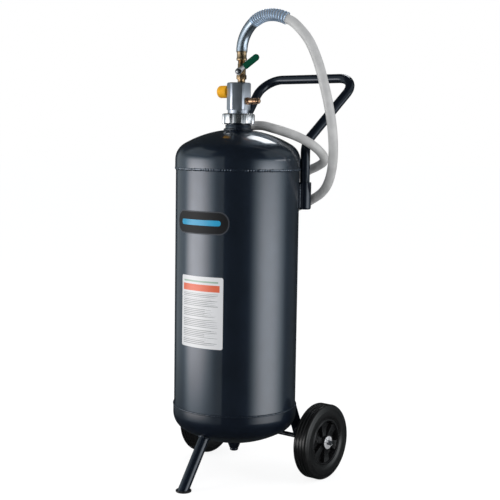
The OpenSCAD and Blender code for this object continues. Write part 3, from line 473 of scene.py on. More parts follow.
def hose_rubber(name):
    """Milky hose, a little cloudy and uneven."""
    base = chosen("hose")
    f = Finish(name, base, 0.42, Specular_IOR_Level=0.35, Coat_Weight=0.1, Coat_Roughness=0.2)
    cloud = f.noise(0.03)
    f.paint(Base_Color=f.tints(base, cloud.ramp(0.3, 0.7), 0.9, 1.06))
    f.paint(Roughness=cloud.ramp(0.2, 0.8, 0.36, 0.48))
    return f.bump(f.noise(0.012, 2.0), 0.00005, 0.15)


def label_film(name):
    """White plate with a coloured band and plain ruled lines. u runs across it, v up it."""
    white, band, line, heading_line = (
        (0.72, 0.72, 0.72), (0.70, 0.13, 0.055), (0.10, 0.105, 0.11), (0.13, 0.30, 0.16)
    )
    row_pitch, row_h, block_rate, block_gap = 0.0245, 0.0105, 7.1, 0.16
    f = Finish(name, white, 0.32, Coat_Weight=0.3, Coat_Roughness=0.1)
    u, v, _ = f.parts(f.place("UV"))
    length = f.noise(0.012, 0.0, f.place("UV", scale=(0.0, 1, 0))).ramp(0.35, 0.65, 0.62, 0.9)
    rows = v.wrapped(row_pitch).below(row_h) * v.between(0.045, 0.765)
    blocks = (v * block_rate + 0.1).wrapped(1.0).above(block_gap)
    ruled = rows * blocks * u.above(0.06) * u.below(length)
    top_line = v.between(0.918, 0.94) * u.between(0.07, 0.9)
    in_band = v.between(0.795, 0.888) * u.between(0.05, 0.93)
    colour = f.mix(ruled * 0.72, white, line)
    colour = f.mix(top_line * 0.7, colour, heading_line)
    f.paint(Base_Color=f.mix(in_band, colour, band))
    return f.bump(f.noise(0.004, 2.0), 0.00004, 0.3)


def badge_film(name, colour, coat):
    """Plain film: the more clear coat it has, the smoother it is."""
    colour = chosen(colour)
    rough = 0.55 - 0.4 * coat
    f = Finish(name, colour, rough, Specular_IOR_Level=0.3, Coat_Weight=coat, Coat_Roughness=0.1)
    f.paint(Base_Color=f.tints(colour, f.noise(0.02, 2.0), 0.9, 1.1))
    return f.bump(f.noise(0.003, 2.0), 0.00003, 0.3)


# Each finish: what makes it, and the values it is made with, after its name.
FINISHES = {
    "powder_coat": (powder_coat, 0.6, 0.9),
    "bead_coat": (powder_coat, 1.0, 1.0),
    "dusty_coat": (powder_coat, 0.25, 0.45),
    "tube_coat": (tube_coat,),
    "satin_alloy": (metal, (0.60, 0.64, 0.72), 0.3, 0.03, 0.03, (1, 1, 0.2), 0.000001),
    "bright_alloy": (metal, (0.74, 0.75, 0.78), 0.24, 0.05, 0.05, (1, 1, 12)),
    "zinc": (metal, (0.62, 0.63, 0.65), 0.27, 0.07, 0.08),
    # The lever's zinc, made darker than zinc: a painted shade.
    "lever_zinc": (metal, (0.38, 0.385, 0.395), 0.34, 0.05, 0.08),
    # The hub's zinc, made paler and less metallic than zinc: a painted highlight.
    "hub_zinc": (metal, (0.86, 0.86, 0.87), 0.25, 0.07, 0.14, (1, 1, 1), 0.000006, 0.45),
    # Zinc made near black for the axle and the lever's nut: a painted shade.
    "dark_zinc": (metal, (0.13, 0.135, 0.15), 0.3, 0.07, 0.1),
    "chrome": (metal, (0.80, 0.80, 0.82), 0.08, 0.02, 0.02),
    "valve_brass": (metal, (0.50, 0.34, 0.19), 0.28, 0.08, 0.18),
    "relief_brass": (metal, (0.60, 0.36, 0.22), 0.26, 0.07, 0.14),
    "ferrule_brass": (metal, (0.52, 0.38, 0.23), 0.32, 0.08, 0.16, (1, 1, 8)),
    "copper_pink": (metal, (0.72, 0.45, 0.36), 0.28, 0.07, 0.08),
    "nozzle_steel": (metal, (0.42, 0.43, 0.45), 0.32, 0.07, 0.1, (1, 1, 12)),
    "spring_steel": (spring_steel,),
    "yellow_cap": (moulded, "cap", 0.42, 0.25),
    "green_grip": (moulded, "grip", 0.5, 0.06, 0.12),
    "seal_rubber": (moulded, (0.02, 0.02, 0.02), 0.6),
    "foot_black": (moulded, (0.011, 0.011, 0.012), 0.5),
    "seat_white": (moulded, (0.8, 0.8, 0.78), 0.4),
    "rim_plastic": (moulded, (0.0065, 0.0065, 0.007), 0.3, 0.45, 0.1, 0.0009),
    "bush_plastic": (moulded, (0.035, 0.035, 0.036), 0.45),
    "tyre_rubber": (tyre_rubber,),
    "hose_rubber": (hose_rubber,),
    "label_film": (label_film,),
    "badge_dark": (badge_film, (0.008, 0.008, 0.009), 0.0),
    "badge_rim": (badge_film, (0.045, 0.05, 0.06), 0.1),
    "badge_cyan": (badge_film, "stripe", 0.5),
}
# The record's slot of each finish, where its name is another
BLACK = ("powder_coat", "bead_coat", "dusty_coat", "tube_coat")
FILMS = ("label_film", "badge_dark", "badge_rim", "badge_cyan")
SLOTS = dict.fromkeys(BLACK + FILMS, "black_paint") | {
    "satin_alloy": "machined_alloy", "lever_zinc": "zinc", "hub_zinc": "zinc",
    "dark_zinc": "zinc", "hose_rubber": "grey_hose",
}
made = {}


def finish(name):
    """The finish of this name, made once."""
    if name not in made:
        maker, *values = FINISHES[name]
        made[name] = maker(name, *values).material
    return made[name]


# ---- Modelling by hand, in code ----


def fresh_start():
    """Object mode with nothing selected."""
    if bpy.context.object and bpy.context.object.mode != "OBJECT":
        bpy.ops.object.mode_set(mode="OBJECT")
    bpy.ops.object.select_all(action="DESELECT")


def only(piece):
    fresh_start()
    bpy.context.view_layer.objects.active = piece
    piece.select_set(True)


def settled(piece, matrix=None):
    """Puts the piece's place into its mesh."""
    only(piece)
    if matrix is not None:
        piece.matrix_world = matrix @ piece.matrix_world
        bpy.context.view_layer.update()
    bpy.ops.object.transform_apply(location=True, rotation=True, scale=True)
    return piece


def apply_modifier(piece, kind, **settings):
    only(piece)
    modifier = piece.modifiers.new(kind.title(), kind)
    for name, value in settings.items():
        setattr(modifier, name, value)
    bpy.ops.object.modifier_apply(modifier=modifier.name)
    return piece


def cleaned(piece, merge=1e-6):
    """Merges doubles and turns the faces outwards."""
    only(piece)
    bpy.ops.object.mode_set(mode="EDIT")
    bpy.ops.mesh.select_all(action="SELECT")
    bpy.ops.mesh.remove_doubles(threshold=merge)
    bpy.ops.mesh.normals_make_consistent(inside=False)
    bpy.ops.object.mode_set(mode="OBJECT")
    return piece


def kept(piece, name, finish_name, replaces=(), degrees=35.0, body="root"):
    """The finished piece: named, smoothed, coated, and riding on its body."""
    piece.name = piece.data.name = name
    only(piece)
    bpy.ops.object.shade_smooth_by_angle(angle=radians(degrees))
    piece.data.materials.clear()
    piece.data.materials.append(finish(finish_name))
    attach(piece, body)
    if replaces:
        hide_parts(*replaces)
    return piece


def turned(section, steps):
    """Closes a half section of (radius, height) points and spins it round Z."""
    fresh_start()
    bpy.ops.mesh.primitive_plane_add(size=0.001, location=(0, 0, 0))
    piece = bpy.context.object
    bpy.ops.object.mode_set(mode="EDIT")
    bpy.ops.mesh.select_all(action="SELECT")
    bpy.ops.mesh.merge(type="CENTER")
    points = [Vector((r, 0, z)) for r, z in section]
    bpy.ops.transform.translate(value=points[0])
    for a, b in zip(points, points[1:]):
        bpy.ops.mesh.extrude_region_move(TRANSFORM_OT_translate={"value": b - a})
    mesh = bmesh.from_edit_mesh(piece.data)
    for v in mesh.verts:
        v.select = len(v.link_edges) == 1
    bmesh.update_edit_mesh(piece.data)
    bpy.ops.mesh.edge_face_add()
    bpy.ops.mesh.select_all(action="SELECT")
    bpy.ops.mesh.spin(steps=steps, angle=2 * pi, center=(0, 0, 0), axis=(0, 0, 1))
    bpy.ops.object.mode_set(mode="OBJECT")
    return cleaned(piece)


def laid(direction, origin):
    """Matrix that lays local Z along a level direction of length 1, from an origin."""
    z = Vector(direction)
    x = Vector((0, 0, 1)).cross(z)
    turn = Matrix((x, z.cross(x), z)).transposed()
    return Matrix.Translation(origin) @ turn.to_4x4()


def tube(path, radius, sides, cyclic=False, swell=None):
    """A tube along a path. swell gives the radius' share at each point."""
    fresh_start()
    bpy.ops.curve.primitive_nurbs_path_add()
    curve = bpy.context.object
    data = curve.data
    data.splines.clear()
    line = data.splines.new("POLY")
    line.points.add(len(path) - 1)
    for i, p in enumerate(path):
        line.points[i].co = (*p, 1)
        line.points[i].radius = swell[i] if swell else 1.0
    line.use_cyclic_u = cyclic
    data.dimensions = "3D"
    data.twist_mode = "MINIMUM"
    data.bevel_depth = radius
    data.bevel_resolution = sides // 4 - 1
    data.use_fill_caps = not cyclic
    only(curve)
    bpy.ops.object.convert(target="MESH")
    return settled(cleaned(bpy.context.object, 1e-7))


def dressed(node, name, finish_name, bevel=0.0, degrees=35.0):
    """A merged copy of a frame's node that stands for it. bevel is in millimetres."""
    flat, sharp = radians(1), radians(38)
    original = frame["nodes"][node]
    piece = bpy.data.objects.new(name, original.data.copy())
    bpy.context.scene.collection.objects.link(piece)
    only(piece)
    piece.data.materials.clear()
    if piece.data.has_custom_normals:
        bpy.ops.mesh.customdata_custom_splitnormals_clear()
    bpy.ops.object.mode_set(mode="EDIT")
    bpy.ops.mesh.select_all(action="SELECT")
    bpy.ops.mesh.remove_doubles(threshold=2e-6)
    bpy.ops.mesh.dissolve_limited(angle_limit=flat)
    bpy.ops.object.mode_set(mode="OBJECT")
    if bevel:
        apply_modifier(
            piece, "BEVEL", width=bevel * MM, segments=2, limit_method="ANGLE", angle_limit=sharp
        )
    return kept(piece, name, finish_name, (node,), degrees, original["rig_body"])


def arc(centre, radius, start, end, steps):
    """Points (radius, height) on an arc between two angles."""
    angles = [start + (end - start) * k / steps for k in range(steps + 1)]
    return [(centre[0] + radius * cos(a), centre[1] + radius * sin(a)) for a in angles]


def head_line(grow, hole_r):
    """A dished head's outer line from seam to hole, moved out by grow."""
    knuckle = arc((HEAD_R - KNUCKLE_R, HEAD_SKIRT), KNUCKLE_R + grow, 0, KNUCKLE_END, 28)
    crown_end = acos(hole_r / (CROWN_R + grow))
    crown = arc((0, HEAD_SKIRT - CROWN_DROP), CROWN_R + grow, KNUCKLE_END, crown_end, 36)
    return [(HEAD_R + grow, 0)] + knuckle + crown[1:]


def crown_at(r):
    """Height of the head's crown over its seam, at a distance from the axis."""
    return HEAD_SKIRT - CROWN_DROP + sqrt(CROWN_R**2 - r * r)


def weld_bead(name, path, radius, cyclic=False, ripple=3.6 * MM, depth=0.11, coat="powder_coat"):
    """A run of weld along a path, with its overlapping ripples and an uneven hand."""
    total, swell = 0.0, []
    for before, p in zip([path[0], *path], path):
        total += (p - before).length
        wave = abs(sin(pi * total / ripple)) + 0.4 * sin(total * 190)
        wave += 0.8 * sin(total * 611) * sin(total * 233)
        swell.append(1.0 + depth * wave)
    return kept(tube(path, radius, 16, cyclic, swell), name, coat, degrees=50)


def ring_path(radius, z, steps):
    """A level circle of points round the tank's axis."""
    return [
        Vector((radius * cos(a), TANK_Y + radius * sin(a), z))
        for a in (2 * pi * k / steps for k in range(steps))
    ]


def on_tank(piece, z=0.0, flip=False):
    """Moves a turned piece to the tank's axis, upside down if flip."""
    turn = Matrix.Scale(-1, 4, (0, 0, 1)) if flip else Matrix.Identity(4)
    settled(piece, Matrix.Translation((0, TANK_Y, z)) @ turn)
    return cleaned(piece) if flip else piece


# ---- What a user would change ----


class PotColours(bpy.types.PropertyGroup):
    paint: FloatVectorProperty(
        name="Paint", description="Colour of the powder coat", subtype="COLOR", size=3,
        min=0, max=1, default=(0.0040, 0.0060, 0.0110),
    )
    hose: FloatVectorProperty(
        name="Hose", description="Colour of the hose", subtype="COLOR", size=3,
        min=0, max=1, default=(0.55, 0.55, 0.538),
    )
    cap: FloatVectorProperty(
        name="Inlet cap", description="Colour of the inlet's cap", subtype="COLOR", size=3,
        min=0, max=1, default=(0.88, 0.42, 0.012),
    )
    grip: FloatVectorProperty(
        name="Lever grip", description="Colour of the lever's sleeve", subtype="COLOR", size=3,
        min=0, max=1, default=(0.0004, 0.052, 0.026),
    )
    stripe: FloatVectorProperty(
        name="Badge stripe", description="Colour of the badge's stripe", subtype="COLOR", size=3,
        min=0, max=1, default=(0.012, 0.29, 0.50),
    )


class PotSizes(bpy.types.PropertyGroup):
    bead_r: FloatProperty(
        name="Weld bead", description="Radius of the upper seam's weld bead", unit="LENGTH",
        default=5.5 * MM, min=3.0 * MM, max=7.0 * MM,
    )
    label_w: FloatProperty(
        name="Label width", description="Width of the label plate along the tank", unit="LENGTH",
        default=130 * MM, min=60 * MM, max=160 * MM,
    )
    label_h: FloatProperty(
        name="Label height", description="Height of the label plate", unit="LENGTH",
        default=181 * MM, min=80 * MM, max=220 * MM,
    )
    badge_w: FloatProperty(
        name="Badge width", description="Width of the badge along the tank", unit="LENGTH",
        default=168 * MM, min=60 * MM, max=200 * MM,
    )
    badge_h: FloatProperty(
        name="Badge height", description="Height of the badge", unit="LENGTH",
        default=58 * MM, min=30 * MM, max=90 * MM,
    )
    stripe_h: FloatProperty(
        name="Stripe height", description="Height of the badge's stripe", unit="LENGTH",
        default=14 * MM, min=4 * MM, max=24 * MM,
    )


# ---- Operators, one for each piece or group ----


class POT_OT_camera(bpy.types.Operator):
    """Sets the camera in front of the pot, to its right"""

    bl_idname = "pot.camera"
    bl_label = "Camera"

    def execute(self, context):
        camera = bpy.data.cameras.new("camera")
        camera.lens = CAMERA_LENS
        camera.sensor_width = CAMERA_SENSOR
        camera.clip_end = 100
        seat = bpy.data.objects.new("camera", camera)
        context.scene.collection.objects.link(seat)
        turn = Matrix((CAMERA_SIDE, CAMERA_UP, -CAMERA_AIM)).transposed().to_4x4()
        seat.matrix_world = Matrix.Translation(CAMERA_AT) @ turn
        context.scene.camera = seat
        return {"FINISHED"}


class POT_OT_hose(bpy.types.Operator):
    """Lays the hose along its route, winds its spring guard and finishes the nozzle"""

    bl_idname = "pot.hose"
    bl_label = "Hose"

    def execute(self, context):
        route = [in_row(p) for p in HOSE_ROUTE]
        last = len(route) - 1
        line = [along(route, i / 8) for i in range(8 * last + 1)]
        hose = kept(tube(line, HOSE_D / 2, 28), "hose_tube", "hose_rubber", ("hose",))
        guard = self.guard(route)
        fittings = [
            dressed("hose_coupling", "hose_coupling_sleeve", "ferrule_brass", 0.4),
            dressed("nozzle_body", "nozzle_holder", "valve_brass", 0.5),
            dressed("nozzle_tip", "nozzle_jet", "nozzle_steel", 0.4),
        ]
        return {"FINISHED"}

    def guard(self, route):
        """A strip wound round the hose: edge to edge at first, then in open, crowned turns."""
        last = (GUARD_CLOSE_TURNS + GUARD_OPEN_TURNS + 1) * GUARD_RINGS
        fresh_start()
        bpy.ops.mesh.primitive_grid_add(x_subdivisions=last, y_subdivisions=GUARD_ROWS, size=2)
        strip = bpy.context.object
        for v in strip.data.vertices:
            turn = round((v.co.x + 1) / 2 * last) / GUARD_RINGS
            loose = min(1, max(0, (turn - GUARD_CLOSE_TURNS) / GUARD_LOOSENS_OVER))
            low, high = self.reach(turn - 1), self.reach(turn)
            width = max((high - low) * (GUARD_FILL - GUARD_FILL_LOSS * loose), GUARD_END_SPAN)
            t = low + width * (v.co.y + 1) / 2
            r = GUARD_R + loose * (GUARD_LIFT - GUARD_CROWN * v.co.y**2)
            forward = heading(route, max(t, 0.03))
            side = (Vector((0, 1, 0)) - forward * forward.y).normalized()
            spin = 2 * pi * turn
            out = cos(spin) * side + sin(spin) * forward.cross(side)
            v.co = along(route, t) + forward * 0.1 * MM + r * out
        strip.data.update()
        apply_modifier(strip, "SOLIDIFY", thickness=GUARD_STRIP_T, offset=-1)
        strip = settled(cleaned(strip, 1e-7))
        return kept(strip, "guard_wire", "spring_steel", ("spring_guard",), 50)

    def reach(self, turn):
        """How far along the hose's route this many turns of the guard reach."""
        close = min(max(turn, 0), GUARD_CLOSE_TURNS) / GUARD_CLOSE_TURNS
        loose = min(max(turn - GUARD_CLOSE_TURNS, 0), GUARD_OPEN_TURNS) / GUARD_OPEN_TURNS
        return GUARD_CLOSE_SPAN * close + (GUARD_SPAN - GUARD_CLOSE_SPAN) * loose


class POT_OT_tank(bpy.types.Operator):
    """Turns the shell and the dished heads and lays their weld beads"""

    bl_idname = "pot.tank"
    bl_label = "Tank"

    def execute(self, context):
        low, high = SHELL_LOW.z, SHELL_HIGH.z
        inner = TANK_R - PLATE_T
        outside = [(TANK_R, z) for z in (low, LOW_SEAM_Z, TOP_SEAM_Z, high)]
        shell = turned([(inner, low), *outside, (inner, high)], 256)
        kept(on_tank(shell), "tank_wall", "powder_coat", ("tank_shell",))
        self.head("tank_dome", "top_head", SPUD_R + FIT, TOP_SEAM_Z, False, "powder_coat")
        self.head("tank_bottom", "bottom_head", DRAIN_R + FIT, LOW_SEAM_Z, True, "dusty_coat")
        self.beads(context.scene.pot_sizes.bead_r)
        dressed("filler_spud", "filler_neck", "powder_coat", 0.6)
        dressed("drain_boss", "drain_boss_weld_on", "tube_coat", 0.6)
        dressed("drain_plug", "drain_plug_head", "tube_coat", 0.6)
        return {"FINISHED"}

    def head(self, name, node, hole_r, z, flip, coat):
        outer = head_line(0, hole_r)
        inner = head_line(-PLATE_T, hole_r)[::-1][:-1]
        lip = [(HEAD_R - PLATE_T, LAP_H), (TANK_R + FIT, LAP_H), (TANK_R + FIT, 0)]
        lip_round = [(HEAD_R - 0.5 * MM, 0), (HEAD_R - 0.1 * MM, 0.2 * MM), (HEAD_R, 0.7 * MM)]
        section = lip_round + outer[1:] + inner + lip
        kept(on_tank(turned(section, 256), z, flip), name, coat, (node,), 40)

    def beads(self, top_r):
        """A full, glossy bead under the dome's lip, and finer ones at the low seam and neck."""
        top = ring_path(TANK_R + 2.2 * MM - top_r, TOP_SEAM_Z - 1.8 * MM, 1400)
        low = ring_path(TANK_R + 0.5 * MM, LOW_SEAM_Z + 1.2 * MM, 1400)
        neck = ring_path(SPUD_R + 1.5 * MM, TOP_SEAM_Z + crown_at(SPUD_R) + 1.0 * MM, 420)
        bead = weld_bead("top_seam_bead", top, top_r, True, 6.5 * MM, 0.1, "bead_coat")
        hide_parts("seam_welds")
        weld_bead("low_seam_bead", low, 2.3 * MM, True)
        weld_bead("neck_bead", neck, 2.8 * MM, True, 4.2 * MM)


class POT_OT_neck(bpy.types.Operator):
    """Finishes the collar nut and the manifold with its fittings"""

    bl_idname = "pot.neck"
    bl_label = "Neck and manifold"

    def execute(self, context):
        dressed("seal_ring", "neck_seal", "seal_rubber")
        dressed("collar_nut", "grooved_collar", "bright_alloy", 0.8)
        dressed("manifold_block", "hex_manifold", "satin_alloy", 0.6, 20)
        dressed("pickup_tube", "dip_tube", "zinc")
        dressed("inlet_nipple", "air_nipple", "copper_pink", 0.3)
        dressed("relief_body", "relief_barrel", "relief_brass", 0.3)
        dressed("relief_knob", "relief_pull_knob", "relief_brass", 0.3)
        self.cap()
        return {"FINISHED"}

    def cap(self):
        """The inlet's cap, with its round crown and the ribs of its grip."""
        r, length = (CAP_HIGH.z - CAP_LOW.z) / 2, CAP_HIGH.x - CAP_LOW.x
        bore, bore_l, crown_r = 6.3 * MM, 18 * MM, 6 * MM
        rim = [(bore, 0), (r - 1.2 * MM, 0), (r - 0.4 * MM, 0.3 * MM), (r, 1.2 * MM)]
        crown = arc((r - crown_r, length - crown_r), crown_r, 0, pi / 2, 12)
        cap = turned(rim + crown + [(0, length), (0, bore_l), (bore, bore_l)], 144)
        ribs, rib_h = 30, 0.5 * MM
        for v in cap.data.vertices:
            flat = Vector((v.co.x, v.co.y, 0))
            if flat.length > r - 1.5 * MM and 2 * MM < v.co.z < length - 3 * MM:
                angle = atan2(v.co.y, v.co.x)
                dip = rib_h * (0.5 + 0.5 * cos(ribs * angle)) ** 2
                v.co -= flat.normalized() * dip
        middle = (CAP_LOW + CAP_HIGH) / 2
        settled(cap, laid((-1, 0, 0), Vector((CAP_HIGH.x, middle.y, middle.z))))
        kept(cleaned(cap), "yellow_inlet_cap", "yellow_cap", ("inlet_cap",), 50, "cap")


class POT_OT_valve(bpy.types.Operator):
    """Finishes the outlet valve, its lever and the ferrule"""

    bl_idname = "pot.valve"
    bl_label = "Outlet valve"

    def execute(self, context):
        dressed("valve_body", "valve_barrel", "valve_brass", 0.4)
        dressed("valve_seats", "valve_seat_rings", "seat_white")
        dressed("valve_ball", "bored_ball", "chrome", 0.2)
        dressed("valve_stem", "lever_stem", "zinc", 0.4)
        dressed("packing_nut", "gland_nut", "valve_brass", 0.4)
        dressed("lever", "lever_plate", "lever_zinc", 0.4)
        dressed("lever_nut", "lever_lock_nut", "dark_zinc", 0.4)
        dressed("lever_grip", "lever_sleeve", "green_grip")
        dressed("hose_ferrule", "guard_ferrule", "ferrule_brass", 0.4)
        self.thread()
        return {"FINISHED"}

    def thread(self):
        """The turned thread that shows between the valve and the ferrule."""
        low = FERRULE_LOW.z - 8 * MM
        centre = (FERRULE_LOW.x + FERRULE_HIGH.x) / 2
        crest, root, pitch, count = 9.6 * MM, 8.7 * MM, 1.3 * MM, 6
        core = root - 1.2 * MM
        section = [(core, 0)]
        for k in range(count):
            section += [(root, pitch * k), (crest, pitch * (k + 0.5))]
        section += [(root, pitch * count), (core, pitch * count)]
        ring = settled(turned(section, 64), Matrix.Translation((centre, TANK_Y, low)))
        kept(ring, "ferrule_thread", "valve_brass", (), 20)


class POT_OT_handle(bpy.types.Operator):
    """Bends the push handle and finishes its sockets"""

    bl_idname = "pot.handle"
    bl_label = "Push handle"

    def execute(self, context):
        x = (SOCKET_LOW.x + SOCKET_HIGH.x) / 2
        y = (SOCKET_LOW.y + SOCKET_HIGH.y) / 2
        floor_t = 4 * MM
        bar = HANDLE_BAR + Vector((0, TANK_Y, 0))
        right = [Vector((x, y, SOCKET_LOW.z + floor_t)), Vector((x, y, HANDLE_BEND_Z)), bar]
        left = [Vector((-p.x, p.y, p.z)) for p in reversed(right)]
        path = rounded_path(right + left, HANDLE_BEND_R, 20)
        kept(tube(path, HANDLE_D / 2, 40), "push_handle", "tube_coat", ("handle",), 50)
        r, h = (SOCKET_HIGH.x - SOCKET_LOW.x) / 2, SOCKET_HIGH.z - SOCKET_LOW.z
        bore, foot_r = HANDLE_D / 2 + FIT, 5 * MM
        section = (
            [(0, 0)]
            + arc((r - foot_r, foot_r), foot_r, -pi / 2, 0, 8)
            + [(r, h - 0.8 * MM), (r - 0.8 * MM, h), (bore + 0.3 * MM, h), (bore, h - 0.3 * MM)]
            + [(bore, floor_t), (0, floor_t)]
        )
        for side, word in ((1, "right"), (-1, "left")):
            socket = turned(section, 72)
            settled(socket, Matrix.Translation((side * x, y, SOCKET_LOW.z)))
            kept(socket, f"socket_{word}_cup", "tube_coat", (f"socket_{word}",), 40)
            self.socket_beads(word, side * x, y)
        dressed("socket_screws", "socket_set_screws", "zinc", 0.3)
        dressed("socket_welds", "socket_weld_fill", "tube_coat")
        return {"FINISHED"}

    def socket_beads(self, word, x, y):
        """Two upright beads, where the socket meets the tank."""
        out = Vector((x, y - TANK_Y, 0)).normalized()
        across = Vector((-out.y, out.x, 0))
        low, high = SOCKET_LOW.z + 5 * MM, SOCKET_HIGH.z - 4 * MM
        for s, mark in ((-1, "a"), (1, "b")):
            foot = Vector((0, TANK_Y, 0)) + out * (TANK_R + 2.6 * MM) + across * s * 10.5 * MM
            path = [foot + Vector((0, 0, low + (high - low) * k / 60)) for k in range(61)]
            weld_bead(f"socket_bead_{word}_{mark}", path, 3.0 * MM, False, 4 * MM)


class POT_OT_undercarriage(bpy.types.Operator):
    """Finishes the front leg, the brackets, the axle and the hub pieces"""

    bl_idname = "pot.undercarriage"
    bl_label = "Leg, brackets and axle"

    def execute(self, context):
        dressed("front_leg", "raked_leg", "tube_coat")
        dressed("leg_foot", "foot_disc", "foot_black", 0.8)
        dressed("bracket_right", "axle_plate_right", "tube_coat", 0.6)
        dressed("bracket_left", "axle_plate_left", "tube_coat", 0.6)
        dressed("axle", "axle_rod", "dark_zinc")
        dressed("axle_washers", "hub_washers", "hub_zinc", 0.3)
        dressed("split_pins", "split_pin_wires", "hub_zinc")
        self.leg_weld()
        return {"FINISHED"}

    def leg_weld(self):
        """A bead where the leg meets the lower head, found by aiming along the leg."""
        head = bpy.data.objects["tank_bottom"]
        surface = BVHTree.FromObject(head, bpy.context.evaluated_depsgraph_get())
        axis = Vector((0, sin(LEG_LEAN), cos(LEG_LEAN)))
        side = Vector((1, 0, 0))
        front = axis.cross(side)
        foot = Vector((0, (FOOT_LOW.y + FOOT_HIGH.y) / 2, FOOT_HIGH.z))
        r, steps = 14.6 * MM, 150
        path = []
        for k in range(steps):
            a = 2 * pi * k / steps
            start = foot + r * (cos(a) * side + sin(a) * front) + axis * 20 * MM
            hit = surface.ray_cast(start, axis, 0.4)[0]
            if hit is None:
                raise RuntimeError("the leg's line misses the lower head")
            path.append(hit)
        weld_bead("leg_bead", path, 2.6 * MM, True)


class POT_OT_wheels(bpy.types.Operator):
    """Moulds the tyres and rims"""

    bl_idname = "pot.wheels"
    bl_label = "Wheels"

    def execute(self, context):
        section = self.tyre_section()
        for side, word in ((1, "right"), (-1, "left")):
            centre = Vector((side * WHEEL_X, AXLE.y, AXLE.z))
            tyre = settled(turned(section, 192), laid((side, 0, 0), centre))
            name, nodes, body = f"tyre_{word}_moulding", (f"tyre_{word}",), f"wheel_{word}"
            kept(tyre, name, "tyre_rubber", nodes, 30, body)
            dressed(f"rim_{word}", f"rim_{word}_moulding", "rim_plastic", 1.2)
            dressed(f"bushes_{word}", f"hub_bushes_{word}", "bush_plastic", 0.4)
        return {"FINISHED"}

    def tyre_section(self):
        """Half section from the rim's seat over the tread, with grooves and moulding lines."""
        r, h, seat = WHEEL_R, TYRE_W / 2, 60.6 * MM
        groove, groove_step, shoulder = 2.5 * MM, 9 * MM, 6.5 * MM
        # From the seat, then from the tread: the distance, and how far it is set in
        by_seat = ((0, 3), (0.8, 2.2), (3, 1.6), (3.6, 2.0), (5, 1.0), (9, 0.25), (14, 0))
        by_tread = ((17, 0), (16.4, 0.5), (15.6, 0.5), (15, 0), (11, 0.9))
        half = [(seat + a * MM, h - b * MM) for a, b in by_seat]
        half += [(r - a * MM, h - b * MM) for a, b in by_tread]
        start, end = radians(82), radians(8)
        half += arc((r - shoulder, h - 8 * MM), shoulder, start, end, 9)
        tread = []
        for y in (groove_step, 0.0, -groove_step):
            wall = [(r - 0.25 * MM, 2.6 * MM), (r - 0.7 * MM, 2.1 * MM), (r - groove, 1.4 * MM)]
            tread += [(radius, y + w) for radius, w in wall]
            tread += [(radius, y - w) for radius, w in reversed(wall)]
        mirrored = [(radius, -y) for radius, y in reversed(half)]
        return half + tread + mirrored


class POT_OT_labels(bpy.types.Operator):
    """Lays the label plate and the badge on the tank"""

    bl_idname = "pot.labels"
    bl_label = "Labels"

    def execute(self, context):
        s = context.scene.pot_sizes
        label, badge = (LABEL_BEARING, LABEL_Z), (BADGE_BEARING, BADGE_Z)
        panel_w, panel_h = s.badge_w - 6 * MM, s.badge_h - 6 * MM
        stripe_w, stripe_corner = s.badge_w * 0.74, s.stripe_h / 2.1
        for name, look, w, h, corner, place, layers in (
            ("label_plate", "label_film", s.label_w, s.label_h, 5 * MM, label, 1.0),
            ("badge_rim", "badge_rim", s.badge_w, s.badge_h, 27 * MM, badge, 0.8),
            ("badge_panel", "badge_dark", panel_w, panel_h, 25 * MM, badge, 1.3),
            ("badge_stripe", "badge_cyan", stripe_w, s.stripe_h, stripe_corner, badge, 1.8),
        ):
            self.film(name, look, w, h, corner, *place, FILM_T * layers)
        return {"FINISHED"}

    def film(self, name, look, width, height, corner, bearing, z, thickness):
        """A flat plate with round corners, wrapped round the tank."""
        fresh_start()
        bpy.ops.mesh.primitive_grid_add(x_subdivisions=64, y_subdivisions=48, size=1)
        piece = bpy.context.object
        piece.scale = (width, height, 1)
        settled(piece)
        cx, cy = width / 2 - corner, height / 2 - corner
        r = TANK_R + FILM_GAP
        for v in piece.data.vertices:
            x, y = v.co.x, v.co.y
            if abs(x) > cx and abs(y) > cy:
                dx, dy = (abs(x) - cx) / corner, (abs(y) - cy) / corner
                pull = max(dx, dy) / hypot(dx, dy)
                x = copysign(cx + dx * pull * corner, x)
                y = copysign(cy + dy * pull * corner, y)
            angle = radians(bearing) + x / TANK_R
            v.co = Vector((r * cos(angle), TANK_Y + r * sin(angle), z + y))
        piece.data.update()
        apply_modifier(piece, "SOLIDIFY", thickness=thickness, offset=1.0)
        kept(piece, name, look, (), 40)


